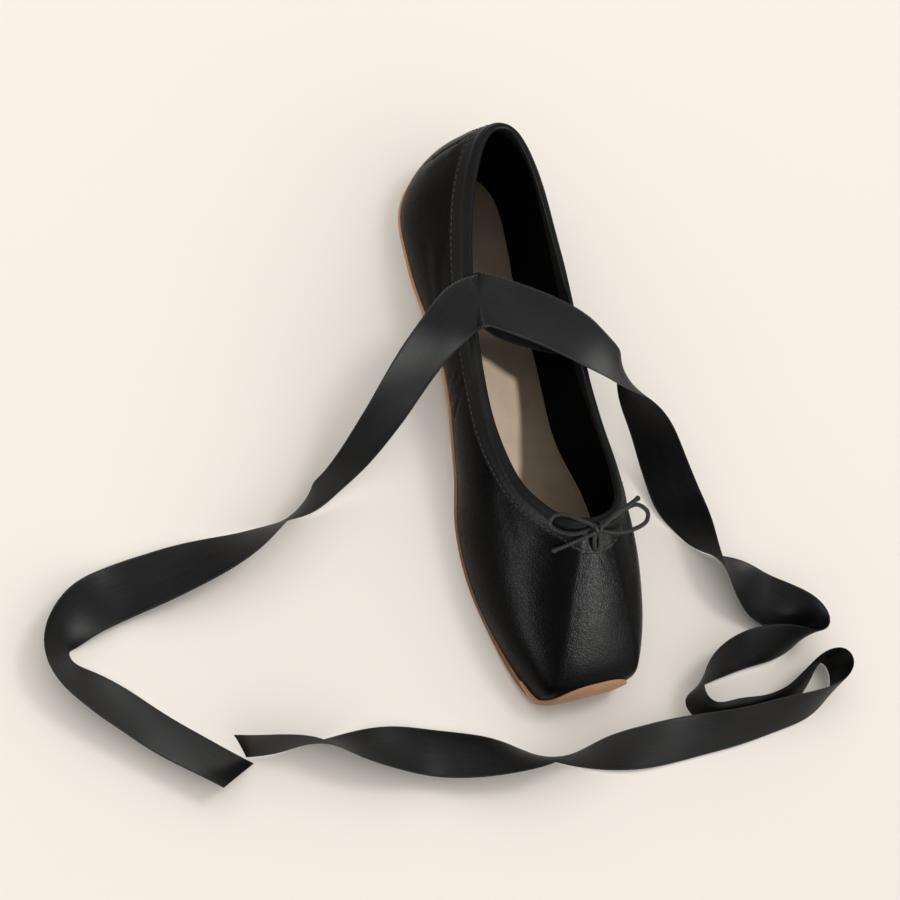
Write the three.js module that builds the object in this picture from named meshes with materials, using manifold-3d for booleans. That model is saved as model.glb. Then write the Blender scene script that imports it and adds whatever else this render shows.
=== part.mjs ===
// A pointe shoe, standing empty and unbent on its sole with its two ribbons laid out beside it.
// Millimetres. +X points to the toe, +Y to the wearer's left, +Z up. The floor is z = 0.
// The origin lies on the floor under the middle of the shoe.
import * as THREE from "three";
import { mergeVertices } from "three/addons/utils/BufferGeometryUtils.js";
import Module from "manifold-3d";

// ---------------------------------------------------------------- driving dimensions
const LENGTH = 240; // last length, heel to toe platform
const ORIGIN = { x: 120.75, y: -0.6 }; // middle of the shoe, measured from the heel and the centre line
const SWING = 3.0; // sideways swing of the last: heel and toe against the waist
const GAP = 0.3; // between pieces that touch

const SOLE_THICK = 2.0;
const SOLE_LIP = 0.4; // how far the sole stands out past the upper
const TAB_THICK = 1.0; // sole leather skived where it turns up over the platform
const ARCH = { from: 52, to: 138, rise: 5.0 };
const SPRING = { from: 182, rise: 5.0 }; // toe spring, full at the toe

const WALL_HEEL = 1.6; // satin, lining and binding
const WALL_TOE = 2.6; // hardened box
const WALL_CHANGE = { from: 4, to: 9 }; // ribs between which the wall thickens
const INSOLE_THICK = 1.5;
const INSOLE_CLEAR = 0.5; // beside the insole

const RIBBON_WIDTH = 22;
const RIBBON_THICK = 0.4;
const STRING = 1.8; // drawstring diameter
const BOW_KNOT = { x: 56.4, y: -1.1, z: 60.9, radius: 2.2 };

// The last, one row for each rib of the right-hand half, from the heel seam round to the toe.
// Every rib is one conic arc: it starts on the sole edge (sole_x, sole_y), is pulled out
// by a shoulder point (x, y, z) and ends on the collar (x, y, z). pull is the arc's weight.
const COLUMNS = ["sole_x", "sole_y", "side_x", "side_y", "side_z", "collar_x", "collar_y", "collar_z", "pull"];
const RIBS = [
  [3.0, 0.0, -4.0, 0.0, 26.5, 6.0, 0.0, 59.5, 1.0],
  [8.0, 13.3, 2.0, 18.6, 26.0, 10.6, 8.2, 58.8, 1.0],
  [22.0, 23.6, 19.0, 31.0, 25.0, 25.5, 15.0, 55.6, 1.0],
  [45.0, 25.0, 44.0, 31.4, 22.0, 47.5, 20.0, 50.2, 1.0],
  [75.0, 22.7, 75.0, 29.1, 21.0, 78.0, 23.8, 45.0, 1.0],
  [105.0, 22.9, 106.0, 29.9, 22.0, 103.9, 24.8, 41.4, 1.0],
  [135.0, 25.8, 137.0, 35.4, 23.8, 128.0, 24.8, 41.0, 1.0],
  [160.0, 32.1, 163.0, 39.5, 25.3, 151.0, 23.2, 46.0, 1.0],
  [185.0, 33.3, 187.0, 39.9, 26.0, 165.0, 18.3, 53.2, 1.3],
  [212.0, 29.1, 214.0, 35.3, 25.6, 171.0, 12.6, 57.0, 1.8],
  [233.0, 23.0, 235.5, 25.0, 25.3, 173.4, 7.0, 58.5, 2.6],
  [239.0, 17.3, 239.5, 17.0, 26.3, 174.2, 3.4, 59.0, 3.0],
  [240.0, 0.0, 240.0, 0.0, 27.5, 174.5, 0.0, 59.2, 3.0],
];
const SIDEWAYS = ["sole_y", "side_y", "collar_y"]; // columns that change sign across the centre line
const STEPS_PER_RIB = 4;
const RIB_STEPS = 13; // points up a rib, less one

// Half width of the turned-up tab, at each height above the floor.
const TAB_OUTLINE = [
  { z: -5, half: 26 },
  { z: 7, half: 26 },
  { z: 10, half: 20.5 },
  { z: 14, half: 18 },
  { z: 19, half: 16.5 },
  { z: 22, half: 14 },
  { z: 24, half: 9 },
  { z: 24.5, half: 0 },
];
const TAB_BACK = 230; // the tab is cut off behind this distance from the heel
const TAB_FOOT = { x: 233, lift: 1 }; // and below the middle of the sole's thickness there
const TAB_SPREAD = { from: 8.5, to: 9.75 }; // ribs between which the sole's edge widens to meet it
const TOE_FIRST_RIB = 8;
const TOE_MARGIN = 10; // the tab's cutter stands out past the toe by this

// Where each ribbon runs, in the shoe's frame. x, y, z is the middle of its width. heading and
// lean, in degrees, point across the width: heading in plan, lean above the floor. A ribbon near
// the floor is lifted until its lower edge clears it, so z = 0 means that it lies or stands there.
const ROUTE_COLUMNS = ["x", "y", "z", "heading", "lean"];
// Sewn inside the left wall, folded back across the opening, then out over the left collar.
const RIBBON_LEFT = [
  [-30, 22.2, 20, -6, 0],
  [-30.5, 20.2, 33.5, -8, 0],
  [-33, 12.6, 35.5, -16, 0],
  [-43, -10, 31.5, -18, 0],
  [-47.5, -17, 33, -12, 0],
  [-48.8, -19.5, 36.8, -6, 0],
  [-47.5, -16, 40.5, -4, 0],
  [-42, -5, 41.8, -8, -3],
  [-27.4, 18.3, 44.9, -22, -2],
  [-17.7, 28.9, 45.4, -35, 12],
  [-9, 37.4, 38.2, -48, 38],
  [-0.2, 46.5, 26.5, -55, 76],
  [14.8, 58.6, 16, -66, 106],
  [33.8, 66.4, 10, -70, 123],
  [53.6, 73, 0, -69, 118],
  [71.1, 79.6, 0, -60, 82],
  [86, 92, 0, -47, 26],
  [100, 106, 0, -42, -14],
  [109.5, 119, 0, -50, -46],
  [115, 122.5, 0, -100, -80],
  [118.5, 116, 0, -165, -105],
  [117.8, 103, 0, -182, -130],
  [117.2, 88, 0, -178, -138],
  [119.5, 72, 0, -165, -132],
  [125, 59.5, 0, -142, -116],
  [132, 54.5, 0, -85, -98],
  [138.5, 59, 0, -30, -76],
  [142.5, 70, 0, -8, -58],
  [145, 84, 0, 2, -51],
  [143.5, 98.5, 0, 12, -50],
  [137.5, 110, 0, 24, -54],
  [130, 121, 0, 22, -62],
  [128.5, 129, 0, -45, -78],
  [135, 132, 0, -110, -94],
  [143, 126, 0, -152, -108],
  [147.2, 112, 0, -170, -122],
  [148.2, 91, 0, -178, -131],
  [148, 64, 0, -181, -138],
  [147, 35, 0, -184, -148],
  [145, 8, 0, -187, -130],
  [142.2, -12.5, 0, -190, -98],
  [138.2, -31, 0, -193, -62],
  [131.7, -54.7, 0, -196, -30],
  [124, -80, 0, -198, -26],
  [117.2, -103, 0, -196, -56],
  [111.8, -121.5, 0, -188, -92],
  [109.9, -133, 0, -178, -106],
  [107.9, -143.2, 0, -171, -108],
];
// Sewn inside the right wall and straight out over the right collar.
const RIBBON_RIGHT = [
  [-45, -23.3, 20, -184, 0],
  [-45, -23.3, 30, -184, 0],
  [-45, -21.9, 38.5, -185, 4],
  [-45, -20.5, 45.8, -185, 8],
  [-44.6, -23.5, 48.9, -184, 9],
  [-43.2, -28.9, 48.4, -174, 9],
  [-39.6, -34.9, 46.7, -155, 16],
  [-34.4, -41.9, 43, -138, 25],
  [-27.2, -49.9, 37, -132, 26],
  [-17.9, -58.6, 29, -128, 30],
  [-7.2, -67.8, 20, -127, 35],
  [4.2, -78.3, 12, -131, 44],
  [12.8, -90, 8.5, -143, 60],
  [20, -103, 0, -152, 78],
  [25, -116, 0, -156, 98],
  [29, -129, 0, -162, 118],
  [32, -145, 0, -167, 139],
  [35, -164, 0, -168, 159],
  [38, -183, 0, -162, 176],
  [43, -200, 0, -145, 198],
  [52.2, -211.8, 0, -113, 226],
  [63.4, -211, 0, -72, 232],
  [75, -200.5, 0, -52, 218],
  [85.1, -189.7, 0, -47, 215],
  [95.2, -178.6, 0, -45, 215],
  [104.3, -168, 0, -46, 217],
  [112, -158.9, 0, -45, 219],
  [117.1, -152.6, 0, -45, 219],
];
const RIBBON_STEPS = 2; // steps between two rows of a route
const FLOOR_GAP = 0.05;

// The drawstring's bow at the throat, as points along each loop and end.
const BOW_STRANDS = {
  bow_loop_right: [
    [55.1, -3.2, 61.6],
    [51.8, -8.0, 61.2],
    [48.6, -12.6, 59.8],
    [47.8, -16.8, 57.6],
    [50.4, -18.6, 55.4],
    [54.0, -15.8, 56.0],
    [56.6, -10.4, 58.2],
    [56.2, -3.4, 59.4],
  ],
  bow_loop_left: [
    [55.0, 1.0, 60.6],
    [53.4, 7.2, 61.0],
    [51.2, 13.4, 61.2],
    [50.4, 19.4, 61.4],
    [54.0, 23.8, 60.6],
    [58.0, 22.4, 59.4],
    [59.8, 15.6, 58.8],
    [59.6, 8.0, 59.2],
    [57.7, 1.1, 60.0],
  ],
  bow_end_right: [
    [58.1, -3.1, 60.6],
    [59.2, -8.6, 56.8],
    [60.2, -13.6, 54.0],
    [61.0, -18.6, 50.8],
  ],
  bow_end_left: [
    [55.9, 1.0, 62.6],
    [52.2, 7.4, 63.8],
    [50.2, 13.6, 64.2],
    [47.8, 19.8, 64.4],
  ],
};
const STRAND_STEPS = 4; // steps between two points of a strand
const STRAND_SIDES = 8;
const KNOT_SIDES = 12;

// ---------------------------------------------------------------- the last

function mirroredRow(row) {
  return row.map((value, index) => (SIDEWAYS.includes(COLUMNS[index]) ? -value : value));
}

// Rib numbers run 0 (heel) to RIBS.length - 1 (toe); one row past each end is the mirror image.
function ribRow(index) {
  const last = RIBS.length - 1;
  if (index < 0) return mirroredRow(RIBS[-index]);
  if (index > last) return mirroredRow(RIBS[2 * last - index]);
  return RIBS[index];
}

function catmullRom(before, from, to, after, t) {
  const linear = to - before;
  const square = 2 * before - 5 * from + 4 * to - after;
  const cube = 3 * (from - to) + after - before;
  return from + 0.5 * t * (linear + t * (square + t * cube));
}

// One interpolated row of the table at rib position s.
function ribAt(s) {
  const index = Math.min(Math.floor(s), RIBS.length - 2);
  const rows = [index - 1, index, index + 1, index + 2].map(ribRow);
  const values = COLUMNS.map((_, c) => catmullRom(rows[0][c], rows[1][c], rows[2][c], rows[3][c], s - index));
  return Object.fromEntries(COLUMNS.map((name, c) => [name, values[c]]));
}

// Height of the sole's underside: flat under heel and ball, arched between, sprung at the toe.
function undersideZ(x) {
  const along = (x - ARCH.from) / (ARCH.to - ARCH.from);
  const arch = along > 0 && along < 1 ? ARCH.rise * Math.sin(Math.PI * along) ** 2 : 0;
  const past = Math.max(0, (x - SPRING.from) / (LENGTH - SPRING.from));
  return arch + SPRING.rise * past ** 2;
}

// From the straight last, measured from the heel, to the swung last in the shoe's frame.
function place(x, y, z) {
  const half = LENGTH / 2;
  const swing = SWING * (((x - half) / half) ** 2 - 1 / 3);
  return new THREE.Vector3(x - ORIGIN.x, y + swing - ORIGIN.y, z);
}

const FOOT_OF_UPPER = SOLE_THICK + GAP;

// The three control points of the rib at s on one side (side is -1 right, +1 left),
// drawn inwards by `inset` within the rib's own plane.
function ribControls(s, side, inset) {
  const row = ribAt(s);
  const foot = place(row.sole_x, side * row.sole_y, undersideZ(row.sole_x) + FOOT_OF_UPPER);
  const shoulder = place(row.side_x, side * row.side_y, row.side_z);
  const collar = place(row.collar_x, side * row.collar_y, row.collar_z);
  if (inset === 0) return { foot, shoulder, collar, pull: row.pull };
  const rise = shoulder.clone().sub(foot);
  const over = collar.clone().sub(shoulder);
  const square = rise.clone().cross(over).normalize();
  const fromRise = square.clone().cross(rise).normalize();
  const fromOver = square.clone().cross(over).normalize();
  const bend = fromRise.clone().add(fromOver);
  bend.multiplyScalar(inset / (1 + fromRise.dot(fromOver)));
  return {
    foot: foot.addScaledVector(new THREE.Vector3(fromRise.x, fromRise.y, 0).normalize(), inset),
    shoulder: shoulder.add(bend),
    collar: collar.addScaledVector(fromOver, inset),
    pull: row.pull,
  };
}

// Point of the upper at rib position s, at v from the sole edge (0) to the collar (1).
function ribPoint(s, side, v, inset = 0) {
  const { foot, shoulder, collar, pull } = ribControls(s, side, inset);
  const a = (1 - v) ** 2;
  const b = 2 * v * (1 - v) * pull;
  const c = v ** 2;
  const sum = new THREE.Vector3().addScaledVector(foot, a).addScaledVector(shoulder, b).addScaledVector(collar, c);
  return sum.divideScalar(a + b + c);
}

// Outward direction of the upper's surface, from neighbouring points.
function ribNormal(s, side, v) {
  const h = 1e-3;
  const last = RIBS.length - 1;
  const s0 = Math.max(0, s - h);
  const s1 = Math.min(last, s + h);
  const v0 = Math.max(0, v - h);
  const v1 = Math.min(1, v + h);
  const along = ribPoint(s1, side, v).sub(ribPoint(s0, side, v));
  const up = ribPoint(s, side, v1).sub(ribPoint(s, side, v0));
  return along.cross(up).normalize().multiplyScalar(-side);
}

// Stations right round the shoe: heel to toe on the right, back to the heel on the left.
function stationsAround() {
  const count = (RIBS.length - 1) * STEPS_PER_RIB;
  const right = Array.from({ length: count }, (_, i) => ({ s: i / STEPS_PER_RIB, side: -1 }));
  const left = Array.from({ length: count }, (_, i) => ({ s: (count - i) / STEPS_PER_RIB, side: 1 }));
  return [...right, ...left];
}

function wallAt(s) {
  const forward = THREE.MathUtils.smoothstep(s, WALL_CHANGE.from, WALL_CHANGE.to);
  return THREE.MathUtils.lerp(WALL_HEEL, WALL_TOE, forward);
}

// ---------------------------------------------------------------- meshes from grids
function geometryOf(points, triangles) {
  const geometry = new THREE.BufferGeometry();
  geometry.setAttribute("position", new THREE.Float32BufferAttribute(points.flatMap((p) => [p.x, p.y, p.z]), 3));
  geometry.setIndex(triangles.flat());
  return geometry;
}

// A row of loops, each a list of the same number of points. Loops join to the next one,
// and the last to the first when `ring` is true, or else the two end loops are closed with fans.
// Each square of the skin is split along one diagonal; the sides listed in `crossed` take the other.
function loftLoops(loops, { ring = false, crossed = [] } = {}) {
  const size = loops[0].length;
  const points = loops.flat();
  const triangles = [];
  const spans = ring ? loops.length : loops.length - 1;
  for (let i = 0; i < spans; i++) {
    const here = i * size;
    const next = ((i + 1) % loops.length) * size;
    for (let j = 0; j < size; j++) {
      const k = (j + 1) % size;
      if (crossed.includes(j)) {
        triangles.push([here + j, next + j, here + k], [here + k, next + j, next + k]);
      } else {
        triangles.push([here + j, next + j, next + k], [here + j, next + k, here + k]);
      }
    }
  }
  if (!ring) {
    const end = (loops.length - 1) * size;
    for (let j = 1; j < size - 1; j++) {
      triangles.push([0, j, j + 1], [end, end + j + 1, end + j]);
    }
  }
  return geometryOf(points, triangles);
}

// A plate over an outline symmetric about a spine: every station gives its right and left edge
// points below and above; the first and last station are single points on the spine.
function ladderPlate(stations) {
  const points = [];
  const add = (p) => points.push(p) - 1;
  const rungs = stations.map(({ right, left, low, high }) => {
    const single = right.distanceTo(left) < 1e-6;
    const at = (p, z) => add(new THREE.Vector3(p.x, p.y, z));
    const rightLow = at(right, low);
    const rightHigh = at(right, high);
    return {
      rightLow,
      rightHigh,
      leftLow: single ? rightLow : at(left, low),
      leftHigh: single ? rightHigh : at(left, high),
    };
  });
  const triangles = [];
  const quad = (a, b, c, d) => {
    if (a !== b && b !== c && a !== c) triangles.push([a, b, c]);
    if (a !== c && c !== d && a !== d) triangles.push([a, c, d]);
  };
  for (let i = 0; i + 1 < rungs.length; i++) {
    const p = rungs[i];
    const q = rungs[i + 1];
    quad(p.rightLow, p.leftLow, q.leftLow, q.rightLow);
    quad(p.rightHigh, q.rightHigh, q.leftHigh, p.leftHigh);
    quad(p.rightLow, q.rightLow, q.rightHigh, p.rightHigh);
    quad(p.leftLow, p.leftHigh, q.leftHigh, q.leftLow);
  }
  return geometryOf(points, triangles);
}

// ---------------------------------------------------------------- solids that need a cut or a join
const wasm = await Module();
wasm.setup();

function toManifold(geometry) {
  const bare = new THREE.BufferGeometry();
  bare.setAttribute("position", geometry.getAttribute("position"));
  bare.setIndex(geometry.getIndex());
  const merged = mergeVertices(bare, 1e-5);
  const vertProperties = new Float32Array(merged.getAttribute("position").array);
  const triVerts = new Uint32Array(merged.getIndex().array);
  return new wasm.Manifold(new wasm.Mesh({ numProp: 3, vertProperties, triVerts }));
}

function fromManifold(solid) {
  const mesh = solid.getMesh();
  const geometry = new THREE.BufferGeometry();
  geometry.setAttribute("position", new THREE.BufferAttribute(mesh.vertProperties, 3));
  geometry.setIndex(new THREE.BufferAttribute(mesh.triVerts, 1));
  return geometry;
}

// The toe end of the upper grown outwards by `offset` and let down to the floor side of the sole.
function grownToe(offset) {
  const count = (RIBS.length - 1 - TOE_FIRST_RIB) * STEPS_PER_RIB;
  const halfArc = Array.from({ length: count + 1 }, (_, i) => TOE_FIRST_RIB + i / STEPS_PER_RIB);
  const right = halfArc.map((s) => ({ s, side: -1 }));
  const left = halfArc.slice(0, -1).map((s) => ({ s, side: 1 }));
  const arc = [...left, ...right.reverse()];
  const layerAt = (v) =>
    arc.map(({ s, side }) => ribPoint(s, side, v).addScaledVector(ribNormal(s, side, v), offset));
  const layers = Array.from({ length: RIB_STEPS }, (_, j) => layerAt(j / RIB_STEPS));
  const bottom = layers[0].map((p) => new THREE.Vector3(p.x, p.y, p.z - FOOT_OF_UPPER - GAP));
  return toManifold(loftLoops([bottom, ...layers]));
}

// ---------------------------------------------------------------- the shoe's pieces
function makeUpper() {
  const loops = stationsAround().map(({ s, side }) => {
    const wall = wallAt(s);
    const outside = Array.from({ length: RIB_STEPS + 1 }, (_, j) => ribPoint(s, side, j / RIB_STEPS));
    const inside = Array.from({ length: RIB_STEPS + 1 }, (_, j) => ribPoint(s, side, 1 - j / RIB_STEPS, wall));
    return [...outside, ...inside];
  });
  return loftLoops(loops, { ring: true });
}

// Sole-edge points at rib position s, moved out square to the edge by `out`.
function soleEdge(s, out) {
  const row = ribAt(s);
  const near = ribAt(Math.max(0, s - 1e-3));
  const far = ribAt(Math.min(RIBS.length - 1, s + 1e-3));
  const run = new THREE.Vector2(far.sole_x - near.sole_x, far.sole_y - near.sole_y).normalize();
  const x = row.sole_x - run.y * out;
  const y = Math.max(0, row.sole_y + run.x * out);
  return { x, y: s === 0 || s === RIBS.length - 1 ? 0 : y };
}

function plateStations(outAt, lowAt, highAt) {
  const count = (RIBS.length - 1) * STEPS_PER_RIB;
  return Array.from({ length: count + 1 }, (_, i) => {
    const s = i / STEPS_PER_RIB;
    const { x, y } = soleEdge(s, outAt(s));
    return { right: place(x, -y, 0), left: place(x, y, 0), low: lowAt(x), high: highAt(x) };
  });
}

function makeOutsole() {
  const tabOut = GAP + TAB_THICK;
  const spread = (s) => THREE.MathUtils.smoothstep(s, TAB_SPREAD.from, TAB_SPREAD.to);
  const outAt = (s) => THREE.MathUtils.lerp(SOLE_LIP, tabOut, spread(s));
  const plate = ladderPlate(plateStations(outAt, undersideZ, (x) => undersideZ(x) + SOLE_THICK));
  const window = new THREE.Shape();
  const right = TAB_OUTLINE.map(({ z, half }) => new THREE.Vector2(half, z));
  const left = TAB_OUTLINE.slice(0, -1).reverse().map(({ z, half }) => new THREE.Vector2(-half, z));
  window.setFromPoints([...right, ...left]);
  const block = new THREE.ExtrudeGeometry(window, { depth: LENGTH + TOE_MARGIN - TAB_BACK, bevelEnabled: false });
  block.rotateX(Math.PI / 2);
  block.rotateZ(Math.PI / 2);
  block.applyMatrix4(new THREE.Matrix4().makeTranslation(TAB_BACK - ORIGIN.x, 2 * SWING / 3 - ORIGIN.y, 0));
  const shell = grownToe(tabOut).subtract(grownToe(GAP));
  const above = new THREE.BoxGeometry(LENGTH, LENGTH, LENGTH);
  above.translate(0, 0, undersideZ(TAB_FOOT.x) + TAB_FOOT.lift + LENGTH / 2);
  const tab = shell.intersect(toManifold(block)).intersect(toManifold(above));
  return fromManifold(toManifold(plate).add(tab));
}

function makeInsole() {
  const outAt = (s) => -(wallAt(s) + INSOLE_CLEAR);
  const low = (x) => undersideZ(x) + FOOT_OF_UPPER;
  return ladderPlate(plateStations(outAt, low, (x) => low(x) + INSOLE_THICK));
}

// A list of rows, `steps` times finer, on one smooth curve through them.
function smoothRows(rows, steps) {
  const last = rows.length - 1;
  const beyond = (end, inner) => end.map((value, c) => 2 * value - inner[c]);
  const padded = [beyond(rows[0], rows[1]), ...rows, beyond(rows[last], rows[last - 1])];
  return Array.from({ length: last * steps + 1 }, (_, i) => {
    const index = Math.min(Math.floor(i / steps), last - 1);
    const [p0, p1, p2, p3] = padded.slice(index, index + 4);
    return p0.map((_, c) => catmullRom(p0[c], p1[c], p2[c], p3[c], i / steps - index));
  });
}

function directionsAlong(points) {
  const last = points.length - 1;
  return points.map((_, i) => {
    const behind = points[Math.max(0, i - 1)];
    const ahead = points[Math.min(last, i + 1)];
    return ahead.clone().sub(behind).normalize();
  });
}

// A flat ribbon: at every station of its route a thin rectangle, square to the run.
function makeRibbon(route) {
  const rows = smoothRows(route, RIBBON_STEPS);
  const across = rows.map(([, , , heading, lean]) => {
    const inPlan = THREE.MathUtils.degToRad(heading);
    const up = THREE.MathUtils.degToRad(lean);
    return new THREE.Vector3(Math.cos(up) * Math.cos(inPlan), Math.cos(up) * Math.sin(inPlan), Math.sin(up));
  });
  const reach = (direction) => (RIBBON_WIDTH / 2) * Math.abs(direction.z) + RIBBON_THICK / 2 + FLOOR_GAP;
  let middle = rows.map(([x, y, z], i) => new THREE.Vector3(x, y, Math.max(z, reach(across[i]))));
  for (let pass = 0; pass < 2; pass++) {
    const run = directionsAlong(middle);
    across.forEach((direction, i) => direction.addScaledVector(run[i], -direction.dot(run[i])).normalize());
    middle = middle.map((p, i) => new THREE.Vector3(p.x, p.y, Math.max(p.z, reach(across[i]))));
  }
  // Both faces are split along the same diagonals, so that a twist keeps its thickness.
  const run = directionsAlong(middle);
  const loops = middle.map((p, i) => {
    const side = across[i].clone().addScaledVector(run[i], -across[i].dot(run[i])).normalize();
    const face = run[i].clone().cross(side);
    const corner = (a, b) =>
      p.clone().addScaledVector(side, (a * RIBBON_WIDTH) / 2).addScaledVector(face, (b * RIBBON_THICK) / 2);
    return [corner(-1, -1), corner(-1, 1), corner(1, 1), corner(1, -1)];
  });
  return loftLoops(loops, { crossed: [3] });
}

// A round string along points, its section kept from turning by carrying one side along.
function makeStrand(points) {
  const middle = smoothRows(points, STRAND_STEPS).map(([x, y, z]) => new THREE.Vector3(x, y, z));
  const run = directionsAlong(middle);
  const side = new THREE.Vector3(0, 0, 1);
  const loops = middle.map((p, i) => {
    side.addScaledVector(run[i], -side.dot(run[i])).normalize();
    const face = run[i].clone().cross(side);
    return Array.from({ length: STRAND_SIDES }, (_, k) => {
      const turn = (-2 * Math.PI * k) / STRAND_SIDES;
      const out = p.clone().addScaledVector(side, (Math.cos(turn) * STRING) / 2);
      return out.addScaledVector(face, (Math.sin(turn) * STRING) / 2);
    });
  });
  return loftLoops(loops);
}

function makeKnot() {
  const knot = new THREE.SphereGeometry(BOW_KNOT.radius, KNOT_SIDES, STRAND_SIDES);
  knot.translate(BOW_KNOT.x, BOW_KNOT.y, BOW_KNOT.z);
  return knot;
}

const shoe = new THREE.Group();
function addPiece(name, geometry, look) {
  const mesh = new THREE.Mesh(geometry, new THREE.MeshStandardMaterial(look));
  mesh.name = name;
  shoe.add(mesh);
}

const SUEDE = { color: 0xc79a70, roughness: 0.95, metalness: 0 };
const SATIN = { color: 0x121213, roughness: 0.42, metalness: 0 };
const SOCK = { color: 0xb5a089, roughness: 0.9, metalness: 0 };
const RIBBON = { color: 0x17181a, roughness: 0.38, metalness: 0 };
const CORD = { color: 0x0e0e0f, roughness: 0.6, metalness: 0 };

addPiece("outsole", makeOutsole(), SUEDE);
addPiece("upper", makeUpper(), SATIN);
addPiece("insole", makeInsole(), SOCK);
addPiece("ribbon_left", makeRibbon(RIBBON_LEFT), RIBBON);
addPiece("ribbon_right", makeRibbon(RIBBON_RIGHT), RIBBON);
addPiece("bow_knot", makeKnot(), CORD);
for (const [name, points] of Object.entries(BOW_STRANDS)) {
  addPiece(name, makeStrand(points), CORD);
}

export default shoe;
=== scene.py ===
# %% [markdown]
# # A pointe shoe in black satin
#
# A pointe shoe is a leather sole, a board and a sock inside, and a fabric upper that is pulled
# over a wooden last and pasted stiff at the toe. Two ribbons are sewn inside its sides, and a
# drawstring runs round the collar and is tied in a small bow at the throat.
#
# The shapes here are surfaces worked out with numpy. A shoe suits that way well, because a last
# is already made of sections: one rule gives every point of it from two numbers, how far round
# the shoe and how far up the side. All lengths are in metres, +X points to the toe, +Y to the
# wearer's left, and the floor is z = 0.

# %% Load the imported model
import math

import bpy
import numpy as np
from mathutils import Matrix, Vector


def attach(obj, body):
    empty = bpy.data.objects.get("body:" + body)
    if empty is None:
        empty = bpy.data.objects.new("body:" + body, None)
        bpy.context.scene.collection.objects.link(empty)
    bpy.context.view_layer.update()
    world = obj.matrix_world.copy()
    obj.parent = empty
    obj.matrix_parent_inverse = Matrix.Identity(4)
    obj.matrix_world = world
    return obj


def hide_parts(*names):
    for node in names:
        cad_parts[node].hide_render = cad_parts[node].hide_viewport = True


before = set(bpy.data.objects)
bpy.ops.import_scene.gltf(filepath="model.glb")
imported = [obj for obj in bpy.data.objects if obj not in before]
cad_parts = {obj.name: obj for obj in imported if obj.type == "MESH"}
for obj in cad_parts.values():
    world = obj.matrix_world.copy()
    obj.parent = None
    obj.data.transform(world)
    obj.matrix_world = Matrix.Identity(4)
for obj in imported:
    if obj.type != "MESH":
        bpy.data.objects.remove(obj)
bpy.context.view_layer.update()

MM = 0.001
print("frame nodes:", sorted(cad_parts))

# %% [markdown]
# ## Camera
#
# The camera comes first. It is set by plain facts: the point it looks at, how far round the shoe
# and how high it stands, its distance, and how far it is rolled about its own axis. The roll puts
# the toe at the bottom of the view. The numbers come from a fit of the last's outline to the
# photograph, made apart from this script.

# %% Camera
AIM = Vector((0.00885, -0.03585, 0.020))
AZIMUTH, ELEVATION, ROLL = 15.23, 61.99, 62.42
DISTANCE = 0.9065
LENS = 88.0


def turned_camera(aim, azimuth, elevation, roll, distance, lens):
    """A camera at `distance` from `aim`; its own axes are the level ones turned by `roll`."""
    round_, up = math.radians(azimuth), math.radians(elevation)
    back = Vector((math.sin(round_) * math.cos(up), -math.cos(round_) * math.cos(up), math.sin(up)))
    level_right = (-back).cross(Vector((0, 0, 1))).normalized()
    level_up = level_right.cross(-back)
    turn = math.radians(roll)
    right = math.cos(turn) * level_right + math.sin(turn) * level_up
    top = math.cos(turn) * level_up - math.sin(turn) * level_right
    camera = bpy.data.objects.new("camera", bpy.data.cameras.new("camera"))
    camera.data.lens = lens
    camera.data.sensor_width = 36.0
    placed = Matrix((right, top, back)).transposed().to_4x4()
    placed.translation = aim + distance * back
    camera.matrix_world = placed
    bpy.context.scene.collection.objects.link(camera)
    bpy.context.scene.camera = camera
    return camera


camera = turned_camera(AIM, AZIMUTH, ELEVATION, ROLL, DISTANCE, LENS)
bpy.context.view_layer.update()
print("camera at", tuple(round(c, 4) for c in camera.matrix_world.translation))

# %% [markdown]
# ## Grids of points
#
# Every piece below is a grid: points in rows and columns, with a square between each four. The
# grid can close on itself in either direction, like a tube or a ring. One helper makes the
# squares as an array, and another hands points and squares to Blender in two calls.

# %% Grid helpers
CREASE = math.radians(60)  # an edge sharper than this stays crisp


def stacked(*arrays):
    """Arrays of matching shapes as one array, whose last axis has one entry for each."""
    return np.stack(np.broadcast_arrays(*arrays), axis=-1)


def grid_faces(rows, columns, ring_rows=False, ring_columns=False):
    """The squares of a grid, four point numbers each; a ring joins its last line to its first."""
    i = np.arange(rows if ring_rows else rows - 1)[:, None]
    j = np.arange(columns if ring_columns else columns - 1)[None, :]
    next_i, next_j = (i + 1) % rows, (j + 1) % columns
    return stacked(i * columns + j, next_i * columns + j,
                   next_i * columns + next_j, i * columns + next_j).reshape(-1, 4)


def unit(vectors):
    """Each vector divided by its own length."""
    return vectors / np.maximum(np.linalg.norm(vectors, axis=-1, keepdims=True), 1e-12)


def dot(a, b):
    """Products of matching vectors, with the last axis kept."""
    return (a * b).sum(axis=-1, keepdims=True)


def add_piece(name, points, faces, slot, uv=None, replaced=()):
    """A smooth mesh object at the origin, riding on the shoe's one body."""
    mesh = bpy.data.meshes.new(name)
    faces = faces if isinstance(faces, list) else faces.tolist()
    mesh.from_pydata(points.reshape(-1, 3).tolist(), [], faces)
    if uv is not None:
        layer = mesh.uv_layers.new(name="lay")
        corner_points = np.empty(len(mesh.loops), np.int32)
        mesh.loops.foreach_get("vertex_index", corner_points)
        layer.data.foreach_set("uv", uv.reshape(-1, 2)[corner_points].astype(np.float32).ravel())
    mesh.polygons.foreach_set("use_smooth", np.ones(len(mesh.polygons), bool))
    mesh.update()
    mesh.set_sharp_from_angle(angle=CREASE)
    piece = bpy.data.objects.new(name, mesh)
    bpy.context.scene.collection.objects.link(piece)
    if replaced:
        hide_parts(*replaced)
    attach(piece, "root")
    print(f"{name}: {len(mesh.vertices)} points, {len(mesh.polygons)} faces")
    return piece


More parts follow.
